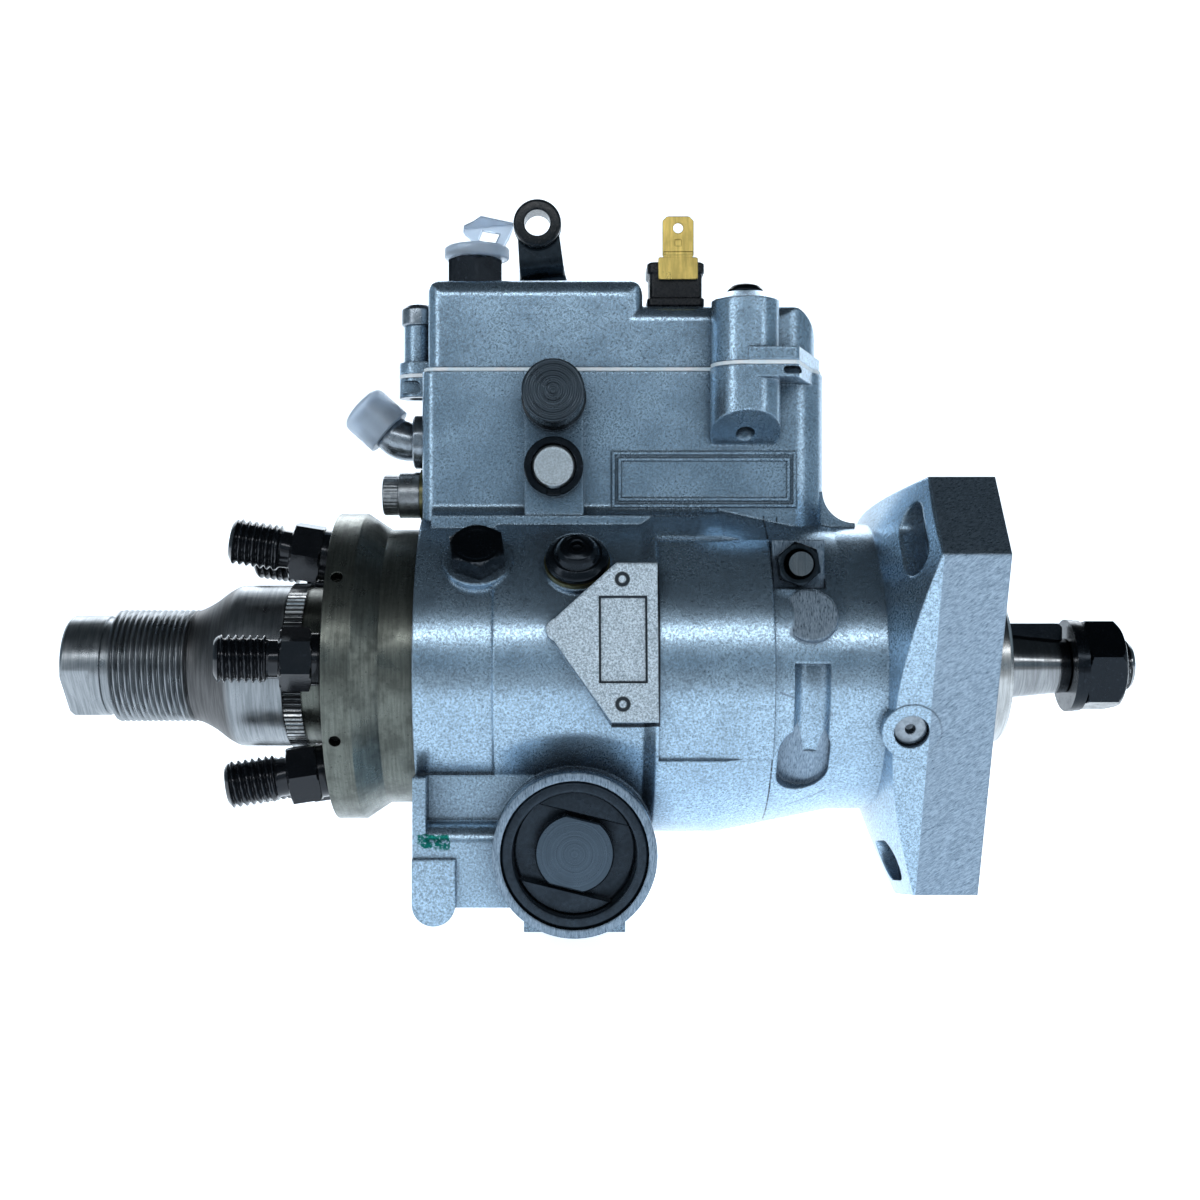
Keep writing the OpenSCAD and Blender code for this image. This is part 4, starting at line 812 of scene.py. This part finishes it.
class PUMP_OT_drive_end(bpy.types.Operator):
    """Drive shaft with its taper and thread, and the shaft nut"""
    bl_idname = "pump.drive_end"
    bl_label = "Drive shaft and nut"

    def execute(self, context):
        pitch = settings().shaft_pitch / MM
        journal = rounded([(CAM + 11.0, 0), (CAM + 11.0, 9), (-44, 9), (-44, 13.5), (-40.8, 13.5), (-40.8, 11),
                           (2.8, 11), (3.2, 9.5), (3.8, 9.7), (28.7, 7.25), (28.8, 7.0)], 0.2, 2)
        screw = resampled([(29.4, 7.0), (44.9, 7.0)], 0.15)
        tip = rounded([(45.2, 6.6), (46.1, 5.9), (46.2, 5.5), (46.0, 0)], 0.15, 2)

        def shape(z, angle, r):
            on = (z > 29.0) & (z < 45.1)
            return np.where(on, r + thread(z, angle, pitch, 0.8, 29.0, 46.4), r)

        tang = slab([(-7, -3), (7, -3), (7, 3), (-7, 3)], -96.5, -91.9, spin(90, "Y") @ spin(90, "Z"), 0.3)
        piece("shaft", [turned(np.concatenate([journal, screw, tip]), 96, turn_x(0), shape), tang], "ground",
              "steel", "drive_shaft", body="drive")

        nut = [(0, 7.2), (0, 11.4), (0.9, 12.9), (2.0, 12.9), (8.2, 12.9), (10.0, 11.2), (10.4, 10.4),
               (10.4, 8.0),
               (9.8, 7.2)]
        piece("nut", [turned(resampled(rounded(nut, 0.4, 3), 0.7), 120, turn_x(32.3), hexed(8.1, 22.0, -72.3),
                             True)], "black", "black", "shaft_nut", body="drive", sharp=26)
        return {"FINISHED"}


def hex_head(place, across, height, turn, base, dish, lower, shank):
    """Closed screw head: flats from the hexagon, corners cut by a cone that loses 1 of height for 1.8 of
    radius, a shallow dish in the top and a shank below."""
    corner = across / 2 / math.cos(math.pi / 6)
    top = across / 2 - 0.2
    rise = (corner - top) / 1.8
    profile = [(lower, 0), (lower, shank), (base, shank), (base, corner), (base + height - rise, corner + 0.02),
               (base + height, top), (base + height, top - 0.9), (base + height - dish, top - 1.8),
               (base + height - dish, 0)]
    profile = resampled(profile, 0.6)
    shape = lambda z, angle, r: np.where((z >= base) & (r > top - 0.1),
                                         np.minimum(hexagon(angle, across, math.radians(turn)), r), r)
    return turned(profile, 96, place, shape)


class PUMP_OT_screws(bpy.types.Operator):
    """Head locking bolts, pivot nuts, cover screws and screwed plugs"""
    bl_idname = "pump.screws"
    bl_label = "Screws, nuts and plugs"

    def execute(self, context):
        seat = BARREL + 0.6
        for k, angle in enumerate((41, 139)):
            place = turn_radial(REAR + 15.6, angle) @ shift(0, 0, seat)
            piece("locking_bolt_%d" % (k + 1), [hex_head(place, 13.0, 5.3, 8, 0.0, 0.35, -15, 4.0)], "black",
                  "black", "head_bolts", sharp=26)
        for k, side in enumerate((-1, 1)):
            place = shift(-47.8, side * 31.4, 26.6) @ spin(-side * 90, "X")
            piece("pivot_nut_%d" % (k + 1), [hex_head(place, 10.0, 5.0, 10, 0.0, 1.2, -1.0, 3.0)], "dark_zinc",
                  "zinc", "pivot_nuts", sharp=26)
            x, y = SCREW[0], side * SCREW[1]
            dome = [(LOW_TOP - 9, 0), (LOW_TOP - 9, 2.4), (LOW_TOP + 1.7, 2.4), (LOW_TOP + 1.7, 4.6),
                    (LOW_TOP + 2.2, 4.7),
                    (LOW_TOP + 3.3, 3.9), (LOW_TOP + 3.9, 2.6), (LOW_TOP + 4.1, 1.75), (LOW_TOP + 2.6, 1.6),
                    (LOW_TOP + 2.6, 0)]
            piece("cover_screw_%d" % (k + 1), [turned(rounded(dome, 0.4, 4), 48, shift(x, y, 0))], "black",
                  "black", "cover_screws")
        top = JOINT + 1 + 13.3
        head = [(top - 8, 0), (top - 8, 2.4), (top, 2.4), (top, 4.3), (top + 0.3, 4.55), (top + 4.4, 4.55),
                (top + 5.4, 3.6),
                (top + 5.9, 2.4), (top + 4.4, 1.6), (top + 4.4, 0)]
        piece("cover_screw_3", [turned(rounded(head, 0.35, 4), 48, shift(REAR - 2.2, 0, 0))], "zinc", "black",
              "cover_screws")

        place = turn_radial(CAM + 0.6, 38.5) @ shift(0, 0, seat)
        dome = [(-8, 0), (-8, 4.9), (1.2, 4.9), (1.2, 7.7), (1.5, 7.9), (2.6, 7.9), (3.0, 7.6), (4.1, 6.2),
                (4.2, 5.6),
                (5.3, 5.1), (6.4, 4.2), (7.1, 2.8), (7.2, 2.0), (6.9, 1.6), (5.4, 1.5), (5.4, 0)]
        piece("dome_plug", [turned(rounded(dome, 0.3, 3), 72, place)], "black", "black", "screw_plugs")
        place = turn_back(REAR) @ shift(JOINT - 31.2, 0, 0)
        socket = [(-7, 0), (-7, 3.9), (1.5, 3.9), (1.5, 6.1), (1.7, 6.2), (7.1, 6.2), (7.3, 6.0), (7.35, 5.4),
                  (11.2, 5.4),
                  (11.6, 5.0), (11.6, 3.0), (11.2, 2.8), (8.0, 2.8), (8.0, 0)]
        knurl = lambda z, angle, r: np.where((z > 7.4) & (z < 11.2) & (r > 5.3),
                                             r - 0.12 * (np.sin(angle * 30) > 0.2), r)
        piece("socket_plug", [turned(resampled(rounded(socket, 0.2, 2), 1.0), 120, place, knurl)], "grey",
              "black", "screw_plugs")
        flange_side = 41.3
        place = turn_radial(-20.4, -21) @ shift(0, 0, flange_side - 6)
        small = [(0.2, 0), (0.2, 4.35), (4.3, 4.35), (4.6, 4.0), (4.6, 1.4), (4.3, 1.2), (2.2, 1.2), (2.2, 0)]
        piece("side_plug", [turned(rounded(small, 0.2, 2), 48, place)], "zinc", "black", "screw_plugs")
        return {"FINISHED"}


def framed(outer, inner, low, high, place, edge):
    """Plate with a hole: rings of points along the outer outline and the same number along the inner one, with
    a small chamfer at both faces, joined round the plate's section."""
    o, i = np.asarray(outer, float), np.asarray(inner, float)
    middle = i.mean(0)
    spread = lambda p, by: p + (p - middle) / np.linalg.norm(p - middle, axis=1, keepdims=True) * by
    rings = [(spread(o, -edge), low), (o, low + edge), (o, high - edge), (spread(o, -edge), high),
             (spread(i, edge), high), (i, high - edge), (i, low + edge), (spread(i, edge), low)]
    grid = np.concatenate([np.column_stack([ring, np.full(len(ring), z)]) for ring, z in rings])
    return moved(grid, place), grid_faces(len(rings), len(o), True)


def around(points, middle):
    """Outline read at evenly spaced angles about a middle point that sees all of it."""
    p = np.asarray(points, float)
    q = np.concatenate([p, p[:1]])
    t = np.linspace(0, 1, 60, endpoint=False)[None, :, None]
    dense = (q[:-1, None] * (1 - t) + q[1:, None] * t).reshape(-1, 2)
    off = dense - np.asarray(middle, float)
    angle = np.arctan2(off[:, 1], off[:, 0])
    order = np.argsort(angle)
    want = np.linspace(-np.pi, np.pi, OUTLINE_POINTS, endpoint=False)
    far = np.interp(want, angle[order], np.linalg.norm(off, axis=1)[order], period=2 * np.pi)
    return np.column_stack([middle[0] + far * np.cos(want), middle[1] + far * np.sin(want)])


class PUMP_OT_throttle(bpy.types.Operator):
    """Throttle shaft's end cap, blanking plug with its snap ring, and the lever with its bush"""
    bl_idname = "pump.throttle"
    bl_label = "Throttle cap, plug and lever"

    def execute(self, context):
        x, z = THROTTLE
        place = turn_near(x, z, -20)
        side = rounded([(8, 0), (8, 5.9), (0.1, 5.9), (0.1, 8.1), (0.4, 8.3), (4.6, 8.3), (5.0, 7.8),
                        (5.4, 7.75), (17.6, 7.75),
                        (17.8, 7.6), (18.1, 7.6), (18.3, 7.8), (19.7, 7.8), (20.0, 7.45)], 0.12, 2)
        r = np.linspace(7.3, 0, 60)
        face = np.column_stack([19.93 + 0.05 * np.cos(r * 11) * (r > 0.4), r])
        cap = piece("throttle_cap", [turned(np.concatenate([side, face]), 96, place)], "bush", "plastic",
                    "throttle_shaft_cap")
        paint_faces(cap, "disc", lambda middle: middle[:, 1] < -39.88)

        place = turn_near(x, z - 17.9, -20)
        plug = [(-5, 0), (-5, 4.5), (0, 4.5), (0, 5.55), (8.3, 5.55), (8.95, 4.95), (9.0, 4.6), (8.85, 4.35),
                (8.8, 0)]
        piece("plug_pin", [turned(resampled(rounded(plug, 0.12, 2), 0.6), 72, place)], "pale", "machined",
              "blanking_plug")
        low = rounded([(0.05, 5.75), (0.05, 7.3), (0.5, 7.5), (6.6, 7.5), (7.0, 7.2), (7.0, 5.75)], 0.15, 2)
        gap = math.degrees(1.6 / 7.0)
        clip = np.concatenate([arc(0, 0, 7.5, -90 + gap, 270 - gap, 60),
                               arc(0, 0, 5.75, 270 - gap * 1.25, -90 + gap * 1.25, 60)])
        piece("snap_ring", [turned(low, 72, place, None, True), slab(clip, 7.1, 9.55, place, 0.25)], "black",
              "black", "plug_snap_ring", sharp=40)

        tilt = shift(x, 0, z) @ spin(-5.5, "Y")
        hub = rounded([(-36, 4.05), (-36, 7.9), (-35.4, 8.5), (-24.6, 8.5), (-24, 7.9), (-24, 4.05)], 0.3, 2)
        flat = shift(x, 0, z) @ spin(90, "X")
        t = np.linspace(0, 1, 9)[:, None]
        bend = lambda a, b, c: (1 - t) ** 2 * a + 2 * t * (1 - t) * b + t ** 2 * c
        line = np.concatenate([np.array([[0.0, 34.5], [20, 34.5]]),
                               bend(*np.array([[39.5, 34.5], [43.0, 34.5], [43.4, 32.6]])),
                               bend(*np.array([[43.6, 32.2], [43.9, 30.5], [47.0, 30.5]])),
                               np.array([[52.0, 30.5], [53.5, 30.5]])])
        run = np.gradient(line, axis=0)
        run /= np.linalg.norm(run, axis=1, keepdims=True)
        normal = np.column_stack([-run[:, 1], run[:, 0]])
        half = np.interp(line[:, 0], [0, 40, 44, 53.5], [7.2, 7.2, 6.4, 6.0])
        section = np.array([(-1, -0.75), (-0.96, -1), (0.96, -1), (1, -0.75), (1, 0.75), (0.96, 1), (-0.96, 1),
                            (-1, 0.75)])
        grid = np.stack([half[:, None] * section[None, :, 0],
                         line[:, 1][:, None] + normal[:, 1][:, None] * section[None, :, 1] * 1.5,
                         line[:, 0][:, None] + normal[:, 0][:, None] * section[None, :, 1] * 1.5], -1)
        arm_faces = [list(f) for f in grid_faces(len(line), 8, False)]
        arm_faces += [list(range(8))[::-1], list(range((len(line) - 1) * 8, len(line) * 8))]
        eye = rounded([(29.05, 5.25), (29.05, 6.6), (29.3, 6.9), (31.7, 6.9), (31.95, 6.6), (31.95, 5.25)],
                      0.2, 2)
        top = (x - 56.7 * math.sin(math.radians(5.5)), z + 56.7 * math.cos(math.radians(5.5)))
        at_eye = shift(top[0], 0, top[1]) @ spin(-90, "X")
        piece("lever", [turned(hub, 64, flat, None, True), (moved(grid.reshape(-1, 3), tilt), arm_faces),
                        turned(eye, 64, at_eye, None, True)],
              "dark_zinc", "zinc", "throttle_lever", body="throttle")
        ring = rounded([(26.05, 4.1), (26.05, 6.2), (26.7, 6.85), (28.9, 6.85), (28.95, 5.2), (32.6, 5.2),
                        (33.9, 4.9), (34.95, 4.3), (34.95, 3.9), (34.6, 3.75), (26.4, 3.75)], 0.25, 3)
        piece("bush", [turned(ring, 72, at_eye, None, True)],
              "bush", "plastic", "lever_bush", body="throttle", sharp=40)
        return {"FINISHED"}


class PUMP_OT_advance_caps(bpy.types.Operator):
    """Advance caps: ring with a thin lip, recess, round grip with two flats and a ledge beyond each"""
    bl_idname = "pump.advance_caps"
    bl_label = "Advance caps"

    def execute(self, context):
        ring = rounded([(0.05, 0), (0.05, 17.6), (0.5, 18.0), (12.6, 18.0), (12.7, 17.75), (13.0, 17.75),
                        (13.38, 17.3), (13.38, 15.5),
                        (13.0, 15.05), (5.0, 15.0), (4.6, 14.4), (4.6, 0)], 0.22, 3)
        turn = math.radians(-13.9)
        lean = lambda p: np.asarray(p) @ np.array([[math.cos(turn), math.sin(turn)],
                                                   [-math.sin(turn), math.cos(turn)]])
        for k, side in enumerate((-1, 1)):
            way = 1 if side < 0 else -1
            place = shift(CAM, side * 34, ADVANCE) @ spin(-side * 90, "X")
            cut = math.degrees(math.asin(8.6 / 9.6))
            grip = lean(np.concatenate([arc(0, 0, 9.6, -cut, cut, 24),
                                        arc(0, 0, 9.6, 180 - cut, 180 + cut, 24)]) * (1, way))
            parts = [turned(ring, 120, place), slab(grip if way > 0 else grip[::-1], 4.6, 11.4, place, 0.35)]
            rise = math.degrees(math.asin(9.4 / 14.9))
            for flip in (0, 180):
                ledge = lean(arc(0, 0, 14.9, rise + flip, 180 - rise + flip, 30) * (1, way))
                parts.append(slab(ledge if way > 0 else ledge[::-1], 4.6, 9.4, place, 0.3))
            cap = piece("advance_cap_%d" % (k + 1), parts, "advance", "advance", "advance_caps", sharp=28)
            paint_faces(cap, "grip", lambda middle: (np.abs(middle[:, 1]) > 45.2) & (
                np.hypot(middle[:, 0] - CAM, middle[:, 2] - ADVANCE) < 9.3))
        return {"FINISHED"}


class PUMP_OT_terminal(bpy.types.Operator):
    """Shut-off terminal: moulded insulator with a raised rim, and the folded blade"""
    bl_idname = "pump.terminal"
    bl_label = "Terminal"

    def execute(self, context):
        x, y = CAM + 27.1, -6
        plan = lambda a, b, c, d, r: np.concatenate([arc(b - r, d - r, r, 0, 90, 5),
                                                     arc(a + r, d - r, r, 90, 180, 5),
                                                     arc(a + r, c + r, r, 180, 270, 5),
                                                     arc(b - r, c + r, r, 270, 360, 5)])
        base = slab(plan(x - 8, x + 7, y - 7, y + 7, 1.6), LOW_TOP + 0.02, LOW_TOP + 2.2, Matrix(), 0.3)
        block = slab(plan(x - 7.4, x + 6.4, y - 6.5, y + 6.6, 1.4), LOW_TOP + 2.0, LOW_TOP + 9.4, Matrix(), 0.4)
        outer = around(plan(x - 8, x + 7, y - 7, y + 7, 1.8), (x - 0.5, y))
        inner = around(plan(x - 6.2, x + 5.2, y - 5.4, y + 5.4, 1.2), (x - 0.5, y))
        rim = framed(outer, inner, LOW_TOP + 8.6, LOW_TOP + 11.5, Matrix(), 0.35)
        stem = turned([(78.5, 0), (78.5, 3), (LOW_TOP + 1, 3), (LOW_TOP + 1, 0)], 32, shift(x, y, 0))
        piece("insulator", [base, block, rim, stem], "matte", "insulator", "terminal_insulator")

        face = turn_near(x, LOW_TOP, -13.0)
        outline = [(-4.1, 12.4), (4.1, 12.4), (4.1, 22.1), (2.9, 23.3), (-2.9, 23.3), (-4.1, 22.1)]
        hole = arc(0, 20.2, 1.3, -180, 180, OUTLINE_POINTS)[:-1]
        blade = framed(around(outline, (0, 20.2)), hole, 0.0, 0.8, face, 0.15)
        wide = slab(plan(-5.2, 5.2, 6.8, 12.6, 0.5), 0.0, 0.8, face, 0.15)
        folds = [slab(plan(-3.9, 3.9, 13.2, 14.0, 0.3), 0.6, 0.95, face, 0.1),
                 slab(plan(-0.9, 0.9, 15.4, 17.2, 0.4), 0.6, 0.98, face, 0.15)]
        piece("blade", [blade, wide, *folds], "brass", "brass", "terminal_blade")
        return {"FINISHED"}


class PUMP_OT_fuel_connections(bpy.types.Operator):
    """Return fitting, elbow and the translucent shipping caps on both"""
    bl_idname = "pump.fuel_connections"
    bl_label = "Return fitting, elbow and caps"

    def execute(self, context):
        x = REAR + 13
        place = shift(x, 0, HIGH_TOP)
        neck = rounded([(7.4, 0), (7.4, 6.2), (7.9, 6.0), (9.6, 6.0), (10.0, 5.6), (10.0, 2.2), (9.6, 2.0),
                        (6, 0)], 0.2, 2)
        piece("return_hexagon", [hex_head(place, 14.2, 7.85, 4, 0.05, 0.2, -3.4, 5.0), turned(neck, 64, place)],
              "black", "zinc", "return_fitting", sharp=26)

        corner, tip = np.array([REAR - 7, ELBOW]), 12.5
        away = np.array([-math.sin(math.radians(48)), math.cos(math.radians(48))])
        t = np.linspace(0, 1, 14)[:, None]
        bent = (1 - t) ** 2 * (corner + (4.2, 0)) + 2 * t * (1 - t) * corner + t ** 2 * (corner + away * 4.2)
        path = np.concatenate([[corner + (9.4, 0), corner + (9.39, 0), corner + (5.2, 0)], bent,
                               [corner + away * (tip - 0.4), corner + away * (tip - 0.01), corner + away * tip]])
        radius = np.concatenate([[0, 4.5, 4.5], 4.9 + 0.5 * np.sin(np.pi * t[:, 0]), [4.6, 4.3, 0]])
        path3 = np.column_stack([path[:, 0], 0 * path[:, 0], path[:, 1]])
        nut = rounded([(-0.1, 0), (-0.1, 6.6), (0.3, 7.2), (2.9, 7.2), (3.35, 6.6), (3.35, 0)], 0.15, 2)
        place = turn_back(REAR - 0.1) @ shift(ELBOW, 0, 0)
        flats = hexed(6.3, 14.0, 30)
        piece("elbow", [swept(path3, radius, 40, (0.0, 1.0, 0.0)), turned(resampled(nut, 0.8), 96, place, flats)],
              "zinc", "zinc", "elbow_fitting")

        disc = rounded([(10.25, 0), (10.25, 6.1), (8.0, 6.1), (8.0, 8.3), (8.4, 8.7), (10.8, 8.7), (11.3, 8.2),
                        (11.3, 0)], 0.35, 3)
        upright = turn_near(x, HIGH_TOP, 0.9)
        middle = (3.6, 14.1)
        tab = around([(0.0, 11.0), (7.6, 11.0), (9.2, 13.8), (10.3, 16.6), (10.4, 17.9), (1.6, 19.8),
                      (-0.4, 18.4), (-3, 17.2), (-3.2, 15), (-1.6, 13.8)], middle)
        window = around([(1, 13.2), (5.4, 12.2), (6.7, 14.9), (2, 15.7)], middle)
        fold = slab([(-2.6, 16.2), (10.0, 17.2), (10.3, 17.9), (1.6, 19.7), (-0.5, 18.3), (-2.8, 17.2)], -0.2,
                    2.0, upright, 0.3)
        at_elbow = shift(REAR - 7, 0, ELBOW) @ spin(-48, "Y")
        dome = rounded([(13.1, 0), (13.1, 4.7), (4.0, 4.7), (4.0, 6.7), (4.3, 6.95), (12.6, 6.95), (13.8, 6.7),
                        (14.7, 5.6), (15.1, 3.6),
                        (15.2, 0)], 0.5, 4)
        piece("return_cap", [turned(disc, 72, shift(x + 0.5, 0, HIGH_TOP)),
                             framed(tab, window, 0.0, 1.8, upright, 0.3), fold], "milky", "cap",
                             "shipping_caps")
        piece("elbow_cap", [turned(dome, 72, at_elbow)], "milky", "cap", "shipping_caps")
        return {"FINISHED"}


class PUMP_OT_stage(bpy.types.Operator):
    """Pale floor and backdrop, soft studio light and the camera"""
    bl_idname = "pump.stage"
    bl_label = "Stage, light and camera"

    def execute(self, context):
        scene = context.scene
        low = -0.0685
        side = np.linspace(-3, 3, 25)
        bend = np.radians(np.linspace(0, 90, 13))
        run = np.concatenate([np.linspace(-2.5, 1.5, 9), 1.5 + 1.0 * np.sin(bend[1:]), np.full(4, 2.5)])
        rise = np.concatenate([np.zeros(9), 1.0 - 1.0 * np.cos(bend[1:]), np.linspace(1.4, 3.5, 4)])
        grid = np.stack([side[None, :] + 0 * run[:, None], run[:, None] + 0 * side[None, :],
                         low + rise[:, None] + 0 * side[None, :]], -1)
        rows, columns = grid.shape[:2]
        r, c = np.arange(rows - 1)[:, None], np.arange(columns - 1)[None, :]
        quads = np.stack([r * columns + c, r * columns + c + 1, (r + 1) * columns + c + 1,
                          (r + 1) * columns + c], -1)
        mesh = bpy.data.meshes.new("floor")
        mesh.from_pydata(grid.reshape(-1, 3).tolist(), [], quads.reshape(-1, 4).tolist())
        mesh.polygons.foreach_set("use_smooth", np.ones(len(mesh.polygons), bool))
        floor = bpy.data.objects.new("floor", mesh)
        scene.collection.objects.link(floor)
        n = Nodes("pale_paper")
        # The floor glows, bluish so that the metal reflects blue, and its glow fades out towards the near side:
        # painted shade on the floor in front of the pump, which the metal reflects as a dark band
        glow_with_painted_front_shade = n.ramp(n.axis("Y"), -0.34, -0.20, 0.0, 1.10)
        n.link(glow_with_painted_front_shade, n.shader.inputs["Emission Strength"])
        n.shader.inputs["Emission Color"].default_value = (0.80, 0.90, 1.0, 1)
        mesh.materials.append(n.finish((0.86, 0.86, 0.86), 0.0, 0.9))

        world = bpy.data.worlds.new("studio")
        world.use_nodes = True
        tree = world.node_tree
        back = tree.nodes["Background"]
        back.inputs["Color"].default_value = (0.62, 0.83, 1.0, 1)
        way = tree.nodes.new("ShaderNodeSeparateXYZ")
        tree.links.new(tree.nodes.new("ShaderNodeTexCoord").outputs["Generated"], way.inputs["Vector"])
        dim = tree.nodes.new("ShaderNodeMapRange")
        smooth_range(dim, 0.12, 0.70, 0.36, 0.04)
        tree.links.new(way.outputs["Z"], dim.inputs["Value"])
        tree.links.new(dim.outputs["Result"], back.inputs["Strength"])
        scene.world = world
        scene.view_settings.view_transform = "Standard"

        aim = Vector((-0.1, 0, 0.02))
        lights = [
            ("near_strip", (-0.10, -1.30, 0.60), 2.4, 0.15, 5.8, (0.96, 0.98, 1.0)),
            ("left_box", (-1.15, -0.95, 0.30), 0.35, 0.6, 1.3, (0.94, 0.97, 1.0)),
            ("right_box", (1.10, -0.75, 0.16), 0.35, 0.6, 0.9, (0.94, 0.97, 1.0)),
            ("back_box", (-0.10, 0.95, 0.75), 1.6, 0.5, 6.0, (0.96, 0.98, 1.0)),
        ]
        for name, spot, wide, tall, power, colour in lights:
            data = bpy.data.lights.new(name, "AREA")
            data.shape = "RECTANGLE"
            data.size, data.size_y = wide, tall
            data.energy = power
            data.color = colour
            lamp = bpy.data.objects.new(name, data)
            lamp.location = spot
            lamp.rotation_mode = "QUATERNION"
            lamp.rotation_quaternion = (aim - Vector(spot)).to_track_quat("-Z", "Y")
            scene.collection.objects.link(lamp)

        data = bpy.data.cameras.new("camera")
        data.sensor_width = 36
        data.lens = data.sensor_width * FOCAL / FRAME
        data.shift_x = SIDEWAYS / FRAME
        data.clip_start, data.clip_end = 0.01, 20
        camera = bpy.data.objects.new("camera", data)
        camera.location = (-0.1034, -0.440, 0.0177)
        camera.rotation_euler = (math.radians(90), 0, 0)
        scene.collection.objects.link(camera)
        scene.camera = camera
        return {"FINISHED"}


OPERATORS = [PUMP_OT_castings, PUMP_OT_line_fittings, PUMP_OT_rear_cap, PUMP_OT_drive_end, PUMP_OT_screws,
             PUMP_OT_throttle, PUMP_OT_advance_caps, PUMP_OT_terminal, PUMP_OT_fuel_connections, PUMP_OT_stage]


class PUMP_PT_panel(bpy.types.Panel):
    """Lists the pump's pieces and settings"""
    bl_idname = "PUMP_PT_panel"
    bl_label = "Rotary injection pump"
    bl_space_type = "VIEW_3D"
    bl_region_type = "UI"
    bl_category = "Pump"

    def draw(self, context):
        column = self.layout.column()
        for key in PumpSettings.__annotations__:
            column.prop(context.scene.pump_settings, key)
        for op in OPERATORS:
            column.operator(op.bl_idname, text=op.bl_label)


CLASSES = [PumpSettings, *OPERATORS, PUMP_PT_panel]


def register():
    for c in CLASSES:
        bpy.utils.register_class(c)
    bpy.types.Scene.pump_settings = bpy.props.PointerProperty(type=PumpSettings)


def unregister():
    del bpy.types.Scene.pump_settings
    for c in reversed(CLASSES):
        bpy.utils.unregister_class(c)


def main():
    register()
    for op in OPERATORS:
        group, call = op.bl_idname.split(".")
        getattr(getattr(bpy.ops, group), call)()


if __name__ == "__main__":
    main()
